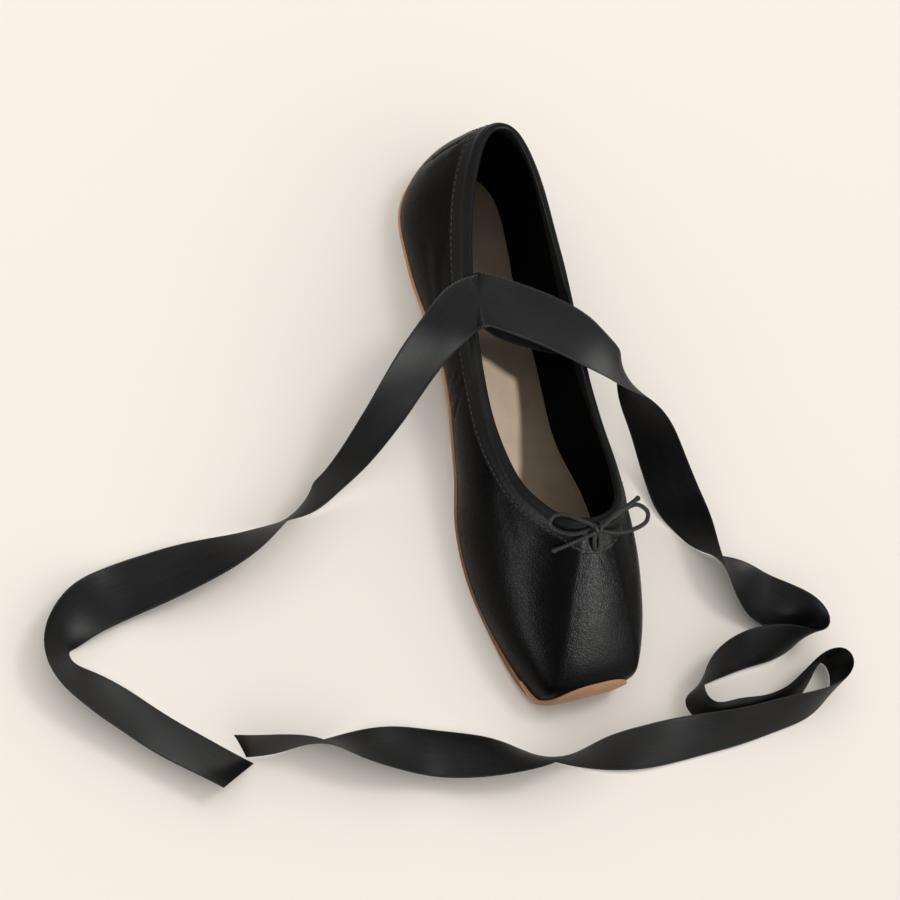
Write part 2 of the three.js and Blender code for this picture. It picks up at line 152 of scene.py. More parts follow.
def thicken(piece, thickness):
    """Gives a sheet its thickness, inwards from the face that was modelled."""
    wall = piece.modifiers.new("solidify", "SOLIDIFY")
    wall.thickness, wall.offset, wall.use_rim = thickness, -1.0, True

# %% [markdown]
# ## A smooth curve through a short table
#
# Routes and sections are short tables, one row for each place. A Catmull-Rom curve passes
# through every row, and its slope at a row is half the step from the row before to the row
# after. Every column of the table is carried along in the same way, so a ribbon's turn is as
# smooth as its path.

# %% Curve through table rows, and easing
def through(rows, t, before=None, after=None):
    """The table's rows at positions t (0 is the first row), on a Catmull-Rom curve."""
    rows = np.asarray(rows, float)
    before = 2 * rows[0] - rows[1] if before is None else before
    after = 2 * rows[-1] - rows[-2] if after is None else after
    padded = np.vstack([before, rows, after])
    t = np.asarray(t, float)
    index = np.clip(np.floor(t).astype(int), 0, len(rows) - 2)
    part = (t - index)[..., None]
    p0, p1, p2, p3 = (padded[index + k] for k in range(4))
    cube = 3 * (p1 - p2) + p3 - p0
    square = 2 * p0 - 5 * p1 + 4 * p2 - p3
    return p1 + 0.5 * part * (p2 - p0 + part * (square + part * cube))


def distance_along(line):
    """How far along a line of points each point lies."""
    steps = np.linalg.norm(np.diff(line, axis=0), axis=1)
    return np.concatenate([[0], np.cumsum(steps)])


def eased(values, reach, **ends):
    """Each column averaged with a bell-shaped weight, `reach` places each way. `ends` says how a
    column goes on past its ends: turned half round, so that they stay in place, if not given."""
    ends = ends or {"mode": "reflect", "reflect_type": "odd"}
    bell = np.hanning(2 * reach + 3)[1:-1]
    padded = np.pad(values, [(reach, reach)] + [(0, 0)] * (values.ndim - 1), **ends)
    return np.apply_along_axis(np.convolve, 0, padded, bell / bell.sum(), "valid")


def smooth_step(x, low, high):
    """0 below `low`, 1 above `high`, and 3t^2 - 2t^3 between them."""
    t = np.clip((x - low) / (high - low), 0, 1)
    return t * t * (3 - 2 * t)

# %% [markdown]
# ## The ribbons
#
# Shoe ribbon is woven, 22 mm wide, with a satin face and two firm woven edges. It has no
# stiffness along its length but doesn't bend in its own plane, so it falls in long twists, and
# where it stands on edge it makes tall smooth waves. A cloth simulation would find some such
# shape, but not this one, so each route is a table. Many rows started from places that programs
# apart from this script worked out from the outline that shows. Some are kept as worked out, and
# the others were placed or moved one by one. Each row gives the middle of the ribbon and the
# direction across it: its heading in plan and its lean above the floor, in degrees. z = 0 means
# that the ribbon lies or stands on the floor there.

# %% Ribbon routes
# x, y, z in mm, heading and lean in degrees
RIBBON_LEFT = [
    (-30.0, 22.2, 20.0, -6, 0), (-30.5, 20.2, 33.5, -8, 0), (-33.0, 12.6, 35.5, -16, 0),
    (-43.0, -10.0, 31.5, -18, 0), (-47.5, -17.0, 33.0, -12, 0), (-48.8, -19.5, 36.8, -6, 0),
    (-47.5, -16.0, 40.5, -4, 0), (-42.0, -5.0, 41.8, -8, -3), (-27.4, 18.3, 44.9, -22, -2),
    (-17.7, 28.9, 45.4, -35, 12), (-9.0, 37.4, 38.2, -48, 38), (-0.2, 46.5, 26.5, -55, 76),
    (14.8, 58.6, 16.0, -66, 106), (33.8, 66.4, 10.0, -70, 123), (53.6, 73.0, 0, -69, 118),
    (71.1, 79.6, 0, -60, 82), (86.0, 92.0, 0, -47, 26), (100.0, 106.0, 0, -42, -14),
    (109.5, 119.0, 0, -50, -46), (115.0, 122.5, 0, -100, -80),
    (118.5, 116.0, 0, -165, -105), (117.8, 103.0, 0, -182, -130),
    (117.2, 88.0, 0, -178, -138), (119.5, 72.0, 0, -165, -132),
    (125.0, 59.5, 0, -142, -116), (132.0, 54.5, 0, -85, -98), (138.5, 59.0, 0, -30, -76),
    (142.5, 70.0, 0, -8, -58), (145.0, 84.0, 0, 2, -51), (143.5, 98.5, 0, 12, -50),
    (137.5, 110.0, 0, 24, -54), (130.0, 121.0, 0, 22, -62), (128.5, 129.0, 0, -45, -78),
    (135.0, 132.0, 0, -110, -94), (143.0, 126.0, 0, -152, -108),
    (147.2, 112.0, 0, -170, -122), (148.2, 91.0, 0, -178, -131),
    (148.0, 64.0, 0, -181, -138), (147.0, 35.0, 0, -184, -148), (145.0, 8.0, 0, -187, -130),
    (142.2, -12.5, 0, -190, -98), (138.2, -31.0, 0, -193, -62),
    (131.7, -54.7, 0, -196, -30), (124.0, -80.0, 0, -198, -26),
    (117.2, -103.0, 0, -196, -56), (111.8, -121.5, 0, -188, -92),
    (109.9, -133.0, 0, -178, -106), (107.4, -145.0, 0, -170, -109),
    (105.9, -150.8, 0, -168, -108),
]
RIBBON_RIGHT = [
    (-45.0, -23.3, 20.0, -184, 0), (-45.0, -23.3, 30.0, -184, 0),
    (-45.0, -21.9, 38.5, -185, 4), (-45.0, -20.5, 45.8, -185, 8),
    (-44.6, -23.5, 48.9, -184, 9), (-43.2, -28.9, 48.4, -174, 9),
    (-39.6, -34.9, 46.7, -155, 16), (-34.4, -41.9, 43.0, -138, 25),
    (-27.2, -49.9, 37.0, -132, 26), (-17.9, -58.6, 29.0, -128, 30),
    (-7.2, -67.8, 20.0, -127, 35), (4.2, -78.3, 12.0, -131, 44),
    (12.8, -90.0, 8.5, -143, 60), (20.0, -103.0, 0, -152, 78), (25.0, -116.0, 0, -156, 98),
    (29.0, -129.0, 0, -162, 118), (32.0, -145.0, 0, -167, 139),
    (35.0, -164.0, 0, -168, 159), (38.0, -183.0, 0, -162, 176),
    (43.0, -200.0, 0, -145, 198), (52.2, -211.8, 0, -113, 226), (63.4, -211.0, 0, -72, 232),
    (75.0, -200.5, 0, -52, 218), (85.1, -189.7, 0, -47, 215), (95.2, -178.6, 0, -45, 215),
    (104.3, -168.0, 0, -46, 217), (112.0, -158.9, 0, -45, 219),
    (117.1, -152.6, 0, -45, 219),
]
RIBBON_WIDTH = 22 * MM
RIBBON_THICK = 0.3 * MM
SELVEDGE = 0.14 * MM  # how much thicker the woven edge is
SELVEDGE_SHARE = 0.06  # its width, as a share of half the ribbon's
RIBBON_LIP = 0.03 * MM  # half the thickness of the very edge
FLOOR_GAP = 0.05 * MM
RIBBON_STEP = 1.5 * MM  # between two stations along it
EASE_PATH, EASE_TURN, EASE_ACROSS, EASE_RISE = 3, 6, 4, 6  # stations each way
RISES_BEFORE = 4  # stations ahead of a lean at which the springy ribbon is already up
RIBBON_COLUMNS = 15  # across one face
CUT_LEFT, CUT_RIGHT = -6 * MM, 5.5 * MM  # how far the cut end slants, from its middle to an edge
CUT_REACH = 14 * MM  # the length of ribbon that the slant is spread over
ROUTE_SCALE = np.array([MM] * 3 + [1] * 2)


def laid_strip(rows):
    """Middle line, direction of run and direction across of a ribbon, at even steps.

    The across direction is made square to the run. Where the ribbon leans, its middle can't be
    lower than half its height, and because it is springy it starts to rise a little before."""
    rows = np.array(rows) * ROUTE_SCALE
    lines = through(rows, np.linspace(0, len(rows) - 1, len(rows) * 30))
    along = distance_along(lines[:, :3])
    even = np.linspace(0, along[-1], round(along[-1] / RIBBON_STEP) + 1)
    lines = np.stack([np.interp(even, along, column) for column in lines.T], axis=1)
    middle = eased(lines[:, :3], EASE_PATH)
    heading, lean = np.radians(eased(lines[:, 3:], EASE_TURN)).T
    across = stacked(np.cos(lean) * np.cos(heading), np.cos(lean) * np.sin(heading), np.sin(lean))
    for _ in range(3):
        run = unit(np.gradient(middle, axis=0))
        across = unit(eased(across - dot(across, run) * run, EASE_ACROSS))
        least = RIBBON_WIDTH / 2 * np.abs(across[:, 2]) + RIBBON_THICK / 2 + FLOOR_GAP
        height = np.pad(np.maximum(middle[:, 2], least), RISES_BEFORE, "edge")
        near = np.lib.stride_tricks.sliding_window_view(height, 2 * RISES_BEFORE + 1)
        middle[:, 2] = np.maximum(eased(near.max(axis=1), EASE_RISE), least)
    run = unit(np.gradient(middle, axis=0))
    return middle, run, unit(across - dot(across, run) * run)


def ribbon(name, rows, slant):
    """A closed flat tube that goes from edge to edge on one face and back on the other. It is
    thicker at the woven edges and cupped by two slow sine waves, and its end is cut at a slant."""
    middle, run, across = laid_strip(rows)
    face = np.cross(run, across)
    along = distance_along(middle)
    even = np.linspace(-1, 1, RIBBON_COLUMNS)
    half = 0.5 * (np.sin(even * np.pi / 2) + even)
    thick = RIBBON_THICK / 2 + SELVEDGE / 2 * np.exp(-((1 - np.abs(half)) / SELVEDGE_SHARE) ** 2)
    thick[[0, -1]] = RIBBON_LIP
    k = np.concatenate([half, half[::-1]])
    out = np.concatenate([thick, -thick[::-1]])
    end = np.clip(1 - (along[-1] - along) / CUT_REACH, 0, 1)
    cup = 0.35 * MM * np.sin(along / (19 * MM)) + 0.25 * MM * np.sin(along / (7.3 * MM) + 1)
    points = (
        middle[:, None]
        + RIBBON_WIDTH / 2 * k[:, None] * across[:, None]
        + (out[:, None] + cup[:, None, None] * k[:, None] ** 2) * face[:, None]
        + slant * k[:, None] * end[:, None, None] ** 2 * run[:, None]
    )
    points[..., 2] += np.maximum(0, FLOOR_GAP - points[..., 2].min(axis=1))[:, None]
    stations, columns = points.shape[:2]
    j = np.arange(RIBBON_COLUMNS - 1)
    cap = stacked(j, j + 1, columns - 2 - j, columns - 1 - j)
    faces = np.vstack([grid_faces(stations, columns, ring_columns=True),
                       cap[:, ::-1], (stations - 1) * columns + cap])
    uv = stacked(along[:, None], RIBBON_WIDTH / 2 * k)
    piece = add_piece(name + "_satin", points, faces, "satin_ribbon", uv=uv, replaced=[name])
    path = middle[::4].tolist() + [middle[-1].tolist()]
    print(f"{name}: {along[-1]:.3f} m long")
    return piece


ribbon_left = ribbon("ribbon_left", RIBBON_LEFT, CUT_LEFT)
ribbon_right = ribbon("ribbon_right", RIBBON_RIGHT, CUT_RIGHT)
# %% [markdown]
# ## The drawstring bow
#
# The drawstring is a round cord that runs inside the collar's edge and comes out of one small
# hole under the knot. Each half of the bow is one length of it: out of the hole, up to the knot,
# round its loop, back through the knot and out to a tip, which is dipped in glue so that it
# doesn't fray. A tube of circles carried along that route shows the cord passing through the
# knot, which four separate pieces would not.

# %% Bow routes
STRING = 1.8 * MM
KNOT = np.array([56.4, -1.1, 60.9]) * MM
HOLE = np.array([64.6, -0.9, 54.2]) * MM
BOW_RIGHT = np.vstack([HOLE, np.array([
    (63.0, -1.8, 56.4), (60.0, -2.2, 58.6), (57.2, -1.8, 60.2), (55.1, -3.2, 61.6),
    (51.8, -8.0, 61.2), (48.6, -12.6, 59.8), (47.8, -16.8, 57.6), (50.4, -18.6, 55.4),
    (54.0, -15.8, 56.0), (56.6, -10.4, 58.2), (56.2, -3.4, 59.4), (56.6, -0.9, 60.6),
    (58.1, -3.1, 60.6), (59.2, -8.6, 56.8), (60.2, -13.6, 54.0), (61.0, -18.6, 50.8),
]) * MM])
BOW_LEFT = np.vstack([HOLE, np.array([
    (63.4, 0.4, 56.4), (60.4, 0.2, 58.6), (57.8, -0.6, 60.4), (55.0, 1.0, 60.6),
    (53.4, 7.2, 61.0), (51.2, 13.4, 61.2), (50.4, 19.4, 61.4), (54.0, 23.8, 60.6),
    (58.0, 22.4, 59.4), (59.8, 15.6, 58.8), (59.6, 8.0, 59.2), (57.7, 1.1, 60.0),
    (56.4, -0.8, 61.4), (55.9, 1.0, 62.6), (52.2, 7.4, 63.8), (50.2, 13.6, 64.2), (47.8, 19.8, 64.4),
]) * MM])
BOW_FACES = np.array([0.45, 0.0, 0.9])  # the way the bow faces, square to its loops
STRING_SIDES = 16


def tube_rings(line, radii, toward, sides):
    """Circles square to a line. Each starts on the side that faces `toward`, so none twists."""
    run = unit(np.gradient(line, axis=0))
    side = unit(toward - dot(np.broadcast_to(toward, line.shape), run) * run)
    other = np.cross(run, side)
    turn = np.linspace(0, 2 * np.pi, sides, endpoint=False)
    circle = np.cos(turn)[:, None] * side[:, None] + np.sin(turn)[:, None] * other[:, None]
    return line[:, None] + radii[:, None, None] * circle


def tube_faces(rings, sides):
    """The squares of a tube, and one cap of triangles at each end."""
    wall = grid_faces(rings, sides, ring_columns=True)[:, ::-1]
    j = np.arange(1, sides - 1)
    start = np.stack([np.zeros_like(j), j + 1, j], axis=1)
    last = (rings - 1) * sides
    end = np.stack([np.full_like(j, last), last + j, last + j + 1], axis=1)
    return wall.tolist() + start.tolist() + end.tolist()


def bow_half(name, route, replaced):
    """One length of drawstring with a small hard bulb at its tip."""
    line = through(route, np.linspace(0, len(route) - 1, (len(route) - 1) * 8 + 1))
    along = distance_along(line)
    from_tip = along[-1] - along
    radii = STRING / 2 * (1 + 0.32 * np.exp(-((from_tip - 1.2 * MM) / (0.8 * MM)) ** 2))
    radii *= np.sqrt(np.clip(from_tip / (0.5 * MM), 0.02, 1))
    rings = tube_rings(line, radii, BOW_FACES, STRING_SIDES)
    faces = tube_faces(len(line), STRING_SIDES)
    uv = stacked(along[:, None], np.linspace(0, 1, STRING_SIDES))
    piece = add_piece(name, rings, faces, "drawstring", uv=uv, replaced=replaced)
    print(f"{name}: {along[-1] / MM:.0f} mm of drawstring")
    return piece


bow_right = bow_half("bow_right", BOW_RIGHT, ["bow_loop_right", "bow_end_right"])
bow_left = bow_half("bow_left", BOW_LEFT, ["bow_loop_left", "bow_end_left"])

# %% [markdown]
# The knot is what is left when the bow is pulled tight: the cord goes once and a half round the
# crossing. Two short rings of the same cord, set at a small angle to each other, read as those
# turns, and the strands go in and out of them.

# %% Knot
KNOT_TURNS = [  # offset along the bow, tilt in degrees, radius of the turn
    (-1.0, 14, 1.75),
    (0.75, -16, 1.85),
]


def wound_turn(offset, tilt, radius):
    """One turn of cord round the bow's middle: a ring of circles in a tilted plane."""
    around = np.linspace(0, 2 * np.pi, 49)
    lean = math.radians(tilt)
    forward, up = np.array([0.88, 0.0, -0.47]), np.array([0.47, 0.0, 0.88])
    sideways = np.array([0.0, 1.0, 0.0])
    first = math.cos(lean) * forward + math.sin(lean) * sideways
    centre = KNOT + offset * MM * sideways
    oval = np.cos(around)[:, None] * first + 0.82 * np.sin(around)[:, None] * up
    line = centre + radius * MM * oval
    axis = np.cross(first, up)
    return tube_rings(line, np.full(len(line), STRING * 0.44), axis, STRING_SIDES)


turns = np.concatenate([wound_turn(*row)[:-1] for row in KNOT_TURNS])
one_turn = grid_faces(len(turns) // 2, STRING_SIDES, ring_rows=True, ring_columns=True)[:, ::-1]
turn_points = len(turns) // 2 * STRING_SIDES
knot = add_piece("bow_knot_turns", turns, np.vstack([one_turn, one_turn + turn_points]),
                 "drawstring", replaced=["bow_knot"])

# %% [markdown]
# ## The last
#
# The shoe's whole form comes from its last. The table has one row for each rib of one half, from
# the heel seam round to the toe. A rib is an arc of a conic: it starts on the sole's edge, is
# drawn out by a shoulder point that it doesn't reach, and ends on the collar; `pull` is how
# strongly the shoulder draws it, and so how boxy the section is. The other half is the mirror
# image, and then the whole last is swung a little, as a real one is: heel and toe to one side,
# waist to the other. The sole and side columns are mostly that same fit's rounded results. The
# collar's started there and were changed.

# %% The last's table
LENGTH = 240 * MM
HEEL_TO_ORIGIN, SIDE_TO_ORIGIN = 120.75 * MM, -0.6 * MM
SWING = 3.0 * MM
SOLE_THICK, GAP = 2.0 * MM, 0.3 * MM
ARCH_FROM, ARCH_TO, ARCH_RISE = 52 * MM, 138 * MM, 5 * MM
SPRING_FROM, SPRING_RISE = 182 * MM, 5 * MM
WALL_HEEL, WALL_TOE = 1.6 * MM, 2.6 * MM

# sole_x, sole_y, side_x, side_y, side_z, collar_x, collar_y, collar_z, pull
RIBS = np.array([
    (3.0, 0.0, -4.0, 0.0, 26.5, 6.0, 0.0, 59.5, 1.0),
    (8.0, 13.3, 2.0, 18.6, 26.0, 10.6, 8.2, 58.8, 1.0),
    (22.0, 23.6, 19.0, 31.0, 25.0, 25.5, 15.0, 55.6, 1.0),
    (45.0, 25.0, 44.0, 31.4, 22.0, 47.5, 20.0, 50.2, 1.0),
    (75.0, 22.7, 75.0, 29.1, 21.0, 78.0, 23.8, 45.0, 1.0),
    (105.0, 22.9, 106.0, 29.9, 22.0, 103.9, 24.8, 41.4, 1.0),
    (135.0, 25.8, 137.0, 35.4, 23.8, 128.0, 24.8, 41.0, 1.0),
    (160.0, 32.1, 163.0, 39.5, 25.3, 151.0, 23.2, 46.0, 1.0),
    (185.0, 33.3, 187.0, 39.9, 26.0, 165.0, 18.3, 53.2, 1.3),
    (212.0, 29.1, 214.0, 35.3, 25.6, 171.0, 12.6, 57.0, 1.8),
    (233.0, 23.0, 235.5, 25.0, 25.3, 173.4, 7.0, 58.5, 2.6),
    (239.0, 17.3, 239.5, 17.0, 26.3, 174.2, 3.4, 59.0, 3.0),
    (240.0, 0.0, 240.0, 0.0, 27.5, 174.5, 0.0, 59.2, 3.0),
]) * np.array([MM] * 8 + [1.0])
TOE = len(RIBS) - 1  # the toe's rib; the heel's is 0
ROUND = 2 * TOE  # ribs right round the shoe: heel, right side, toe, left side, heel
MIRROR = np.array([1, -1, 1, -1, 1, 1, -1, 1, 1])  # sideways columns change sign

# %% Points on the last
def underside(x):
    """Height of the sole's underside: a squared sine for the arch, a square for the toe spring."""
    along = np.clip((x - ARCH_FROM) / (ARCH_TO - ARCH_FROM), 0, 1)
    past = np.maximum(0, (x - SPRING_FROM) / (LENGTH - SPRING_FROM))
    return ARCH_RISE * np.sin(np.pi * along) ** 2 + SPRING_RISE * past ** 2


def placed(x, y, z):
    """From the straight last, measured from the heel, to the swung last in the shoe's frame."""
    swing = SWING * ((2 * x / LENGTH - 1) ** 2 - 1 / 3)
    return stacked(x - HEEL_TO_ORIGIN, y + swing - SIDE_TO_ORIGIN, z)


def from_heel(u):
    """Ribs from the heel, 0 to TOE on either side, at u ribs round the shoe."""
    u = np.mod(u, ROUND)
    return np.minimum(u, ROUND - u)


def side_of(u):
    """-1 on the right and +1 on the left, at u ribs round the shoe."""
    return np.where(np.mod(u, ROUND) <= TOE, -1.0, 1.0)


def rib(s):
    """The table's row at s ribs from the heel; past both ends it runs on into its mirror image."""
    return through(RIBS, s, before=RIBS[1] * MIRROR, after=RIBS[-2] * MIRROR)


def on_last(u, v, inset=0.0):
    """The last's surface at u ribs round and v up the rib, drawn in by `inset`.

    A rational quadratic: (1-v)^2 foot + 2v(1-v) pull shoulder + v^2 collar, over the sum of the
    three weights. The inset moves each leg of the rib inwards in the rib's own plane."""
    u, v = np.broadcast_arrays(np.asarray(u, float), np.asarray(v, float))
    row, side = rib(from_heel(u)), side_of(u)
    foot = placed(row[..., 0], side * row[..., 1], underside(row[..., 0]) + SOLE_THICK + GAP)
    shoulder = placed(row[..., 2], side * row[..., 3], row[..., 4])
    collar = placed(row[..., 5], side * row[..., 6], row[..., 7])
    rise, over = shoulder - foot, collar - shoulder
    square = unit(np.cross(rise, over))
    in_low, in_high = unit(np.cross(square, rise)), unit(np.cross(square, over))
    level = unit(in_low * np.array([1, 1, 0]))
    inset = np.broadcast_to(np.asarray(inset, float), u.shape)[..., None]
    foot = foot + inset * level
    shoulder = shoulder + inset * (in_low + in_high) / (1 + dot(in_low, in_high))
    collar = collar + inset * in_high
    v = v[..., None]
    weights = (1 - v) ** 2, 2 * v * (1 - v) * row[..., 8:9], v ** 2
    return (weights[0] * foot + weights[1] * shoulder + weights[2] * collar) / sum(weights)


def outward(u, v):
    """The last's outward direction, from points a little either side."""
    h = 1e-3
    v0, v1 = np.clip(v - h, 0, 1), np.clip(v + h, 0, 1)
    round_, up = on_last(u + h, v) - on_last(u - h, v), on_last(u, v1) - on_last(u, v0)
    return unit(np.cross(round_, up))


# %% [markdown]
# Pieces are laid out in millimetres below the collar, as a maker would mark them, and not in v,
# which bunches up where a rib is boxy. A fine table of arc lengths turns one into the other:
# lengths are added up along each rib, and the wanted ones are looked up between its entries.

# %% Distances down a rib
FINE = 200


def rib_lengths(u):
    """For each u: the arc length from the collar down to each of FINE + 1 even steps of v."""
    v = np.linspace(1, 0, FINE + 1)
    line = on_last(np.asarray(u, float)[..., None], v)
    steps = np.linalg.norm(np.diff(line, axis=-2), axis=-1)
    return np.concatenate([np.zeros(steps.shape[:-1] + (1,)), np.cumsum(steps, axis=-1)], axis=-1)


def v_below(u, down):
    """v of the point `down` metres below the collar, for arrays u (n) and down (n, m)."""
    lengths = rib_lengths(u)
    down = np.clip(np.broadcast_to(down, (len(lengths), np.shape(down)[-1])), 0, lengths[:, -1:])
    index = (lengths[:, None, :] <= down[:, :, None]).sum(axis=-1) - 1
    index = np.clip(index, 0, FINE - 1)
    low = np.take_along_axis(lengths, index, axis=1)
    high = np.take_along_axis(lengths, index + 1, axis=1)
    return 1 - (index + (down - low) / np.maximum(high - low, 1e-9)) / FINE


def line_on_last(u, down, to_u, to_down, count=8):
    """Points over the surface from one place to another: ribs round, and mm below the collar."""
    u, down = np.linspace((u, down * MM), (to_u, to_down * MM), count).T
    return on_last(u, v_below(u, down[:, None])[:, 0])


print("rib lengths, mm:", np.round(rib_lengths(np.arange(0, TOE + 1, 3.0))[:, -1] / MM, 1))

# %% [markdown]
# ## Folds and puckers
#
# Real satin over a last is never quite even. The folds that catch the eye are listed one by one:
# each is a line over the surface with a width and a depth, and a point near it sinks (or rises,
# where the depth is negative) by depth times e to the minus (distance / width) squared. Under
# the bow the drawstring puckers the satin in rays. A few long, very shallow waves go over
# everything, so that no highlight is ruled straight.

# %% Folds
# from_u, from_down, to_u, to_down (ribs round, mm below the collar), width mm, depth mm
BOTH_SIDES = [  # written for the right side; the left one gets its mirror image
    (5.00, 11, 5.20, 40, 0.75, 0.42),  # side seam
    (5.10, 15, 5.32, 27, 0.9, 0.32),  # puckers beside it
    (5.17, 19, 5.40, 31, 0.9, 0.28),
    (4.84, 16, 5.06, 30, 1.0, 0.30),
    (3.1, 14, 3.9, 22, 3.2, 0.35),  # slack in the quarter
    (3.0, 26, 4.2, 30, 3.6, 0.30),
    (7.1, 10, 8.1, 20, 3.0, 0.22),  # where the wing of the box ends
]
FOLDS = BOTH_SIDES + [(ROUND - u, down, ROUND - to_u, *rest) for u, down, to_u, *rest in BOTH_SIDES] + [
    (4.76, 22, 4.98, 36, 1.0, 0.26),  # one more pucker on the right
    (0.50, 9, 0.95, 16, 0.9, 0.50),  # heel fold, right
    (0.95, 16, 1.20, 30, 0.9, 0.50),
    (1.20, 30, 1.35, 48, 1.1, 0.35),
    (0.80, 10, 1.25, 17, 2.6, -0.22),
    (1.25, 17, 1.50, 30, 2.8, -0.20),
    (23.40, 9, 22.80, 28, 1.0, 0.40),  # heel fold, left
    (23.15, 9, 22.55, 28, 2.6, -0.20),
]
RAYS, RAY_DEPTH, RAY_REACH = 9, 0.05 * MM, 5.0 * MM


def sunk(points, line, width, depth):
    """How far each point sinks for one fold, from its distance to the nearest leg of the line."""
    near = np.full(points.shape[:-1], np.inf)
    for a, b in zip(line[:-1], line[1:]):
        leg = b - a
        t = np.clip(((points - a) @ leg) / (leg @ leg), 0, 1)
        near = np.minimum(near, np.linalg.norm(points - a - t[..., None] * leg, axis=-1))
    return depth * np.exp(-((near / width) ** 2))


def pucker(points):
    """Rays round the drawstring's hole: a cosine of the angle, strongest a little way out."""
    offset = points - HOLE
    radius = np.linalg.norm(offset, axis=-1)
    angle = np.arctan2(offset[..., 1], offset[..., 0] * 1.3)
    ahead = 1 / (1 + np.exp(-(points[..., 0] - HOLE[0] + 1.5 * MM) / (1.2 * MM)))
    ring = (radius / RAY_REACH) ** 2 * np.exp(1 - (radius / RAY_REACH) ** 2)
    return RAY_DEPTH * ring * ahead * np.cos(RAYS * angle + 0.7 * np.sin(3 * angle))


def waves(points):
    """A few long shallow waves, none along the same direction."""
    x, y, z = (points[..., k] / MM for k in range(3))
    sum_ = 0.10 * np.sin(x / 9.1 + y / 13.0 + 1.2) * np.sin(z / 7.7 + x / 31.0)
    sum_ += 0.07 * np.sin(x / 5.3 - z / 6.1 + 0.4) * np.sin(y / 8.7 + 2.0)
    return sum_ * MM


def relief(points):
    """Everything that the satin sinks by, in metres."""
    sink = pucker(points) + waves(points)
    for *places, width, depth in FOLDS:
        line, reach = line_on_last(*places), 4 * width * MM
        close = (points > line.min(axis=0) - reach) & (points < line.max(axis=0) + reach)
        close = close.all(axis=-1)
        sink[close] += sunk(points[close], line, width * MM, depth * MM)
    return sink

# %% [markdown]
# ## The upper
#
# The upper is satin outside, canvas and paste in the toe, and cotton inside. Here it is a shell
# with a real wall: the outer skin follows the last and its folds, the inner skin lies a wall's
# thickness inside, and both meet under the sole's edge and at the collar. The same grid makes
# both skins, so its ring of points runs up the outside and down the inside.

# %% Upper
AROUND = np.linspace(0, ROUND, ROUND * 22, endpoint=False)
UP = np.linspace(0, 1, 60)
LINING_THICK = 0.5 * MM
WALL_CHANGES = 4, 9  # ribs from the heel between which the wall thickens


def wall_at(u):
    """Thickness of the wall, eased from the heel's to the toe box's."""
    return WALL_HEEL + (WALL_TOE - WALL_HEEL) * smooth_step(from_heel(u), *WALL_CHANGES)


def shell(name, outer_inset, inner_inset, folded=False, **more):
    """A closed shell: points up the outside and down the inside, for every place round the shoe."""
    u, v = AROUND[:, None], v_below(AROUND, rib_lengths(AROUND)[:, -1:] * (1 - UP))
    outside = on_last(u, v, outer_inset)
    if folded:
        outside = outside - relief(outside)[..., None] * outward(u, v)
    points = np.concatenate([outside, on_last(u, v, inner_inset)[:, ::-1]], axis=1)
    faces = grid_faces(*points.shape[:2], ring_rows=True, ring_columns=True)
    return add_piece(name, points, faces, "satin_upper", **more)


wall = wall_at(AROUND)[:, None]
upper = shell("upper_satin", 0.0, wall - LINING_THICK, folded=True, replaced=["upper"])
lining = shell("lining", wall - LINING_THICK + 0.02 * MM, wall)

# %% [markdown]
# ## The collar binding
#
# The raw edge is bound with a bias strip of the same satin, folded over it. Outside it is about
# 9 mm deep, wider at the waist and round the bow, where it dips in a small U; its upper edge is
# puffed by the drawstring inside. The section runs up the outside, over the top in a half circle
# and down the inside, and is carried round the collar.

# %% Binding
# ribs from the heel, and how far the binding reaches down the outside there, in mm
BINDING_DEPTH = [(0, 9.0), (2, 9.5), (4, 10.6), (5, 11.0), (6, 9.2), (6.8, 7.6), (8.4, 7.0),
                 (9.2, 8.2), (9.9, 11.2), (10.8, 12.8), (12, 13.4)]
BINDING_INSIDE = 8 * MM
BINDING_THICK = 0.60 * MM
FLAP_STEPS, ROLL_STEPS, INNER_STEPS = 22, 12, 10


def binding_depth(u):
    """Depth of the outer flap: a smooth line through the table, the same on both sides."""
    fine = np.linspace(0, TOE, 241)
    depth = eased(np.interp(fine, *np.transpose(BINDING_DEPTH)), 5, mode="reflect")
    return np.interp(from_heel(u), fine, depth) * MM


def on_satin(u, down, lift):
    """Points on the satin, `down` below the collar and `lift` outside it, for u (n), down (n, m)."""
    v = v_below(u, down)
    skin = on_last(u[:, None], v)
    normal = outward(u[:, None], v)
    return skin + (lift - relief(skin))[..., None] * normal, normal


def binding_section(u):
    """Outer flap, roll and inner flap, as one line of points for every u."""
    depth = binding_depth(u)[:, None]
    part = np.linspace(1, 0, FLAP_STEPS)[None, :]
    down = depth * part
    puff = 0.35 * MM * np.sin(np.pi * np.clip(down / (4.5 * MM), 0, 1)) ** 2
    dip = 0.30 * MM * np.exp(-((down - depth + 1.1 * MM) / (0.45 * MM)) ** 2)
    pleat = 0.05 * MM * np.sin(2 * np.pi * distance_along(on_last(u, 1.0)) / (3.1 * MM))[:, None]
    flap, normal = on_satin(u, down, BINDING_THICK + puff - dip + pleat * part)
    wall = wall_at(u)[:, None]
    inner_v = v_below(u, np.linspace(0.3 * MM, BINDING_INSIDE, INNER_STEPS)[None, :])
    inner = on_last(u[:, None], inner_v, wall + BINDING_THICK)
    start, end = flap[:, -1:], inner[:, :1]
    centre, arm = (start + end) / 2, (start - end) / 2
    top = on_last(u, 1.0) - on_last(u, 0.97)
    top = unit(top - dot(top, unit(arm[:, 0])) * unit(arm[:, 0]))[:, None]
    radius = np.linalg.norm(arm, axis=-1, keepdims=True)
    turn = np.linspace(0, np.pi, ROLL_STEPS + 2)[None, 1:-1, None]
    roll = centre + arm * np.cos(turn) + top * radius * np.sin(turn)
    return np.concatenate([flap, roll, inner], axis=1)


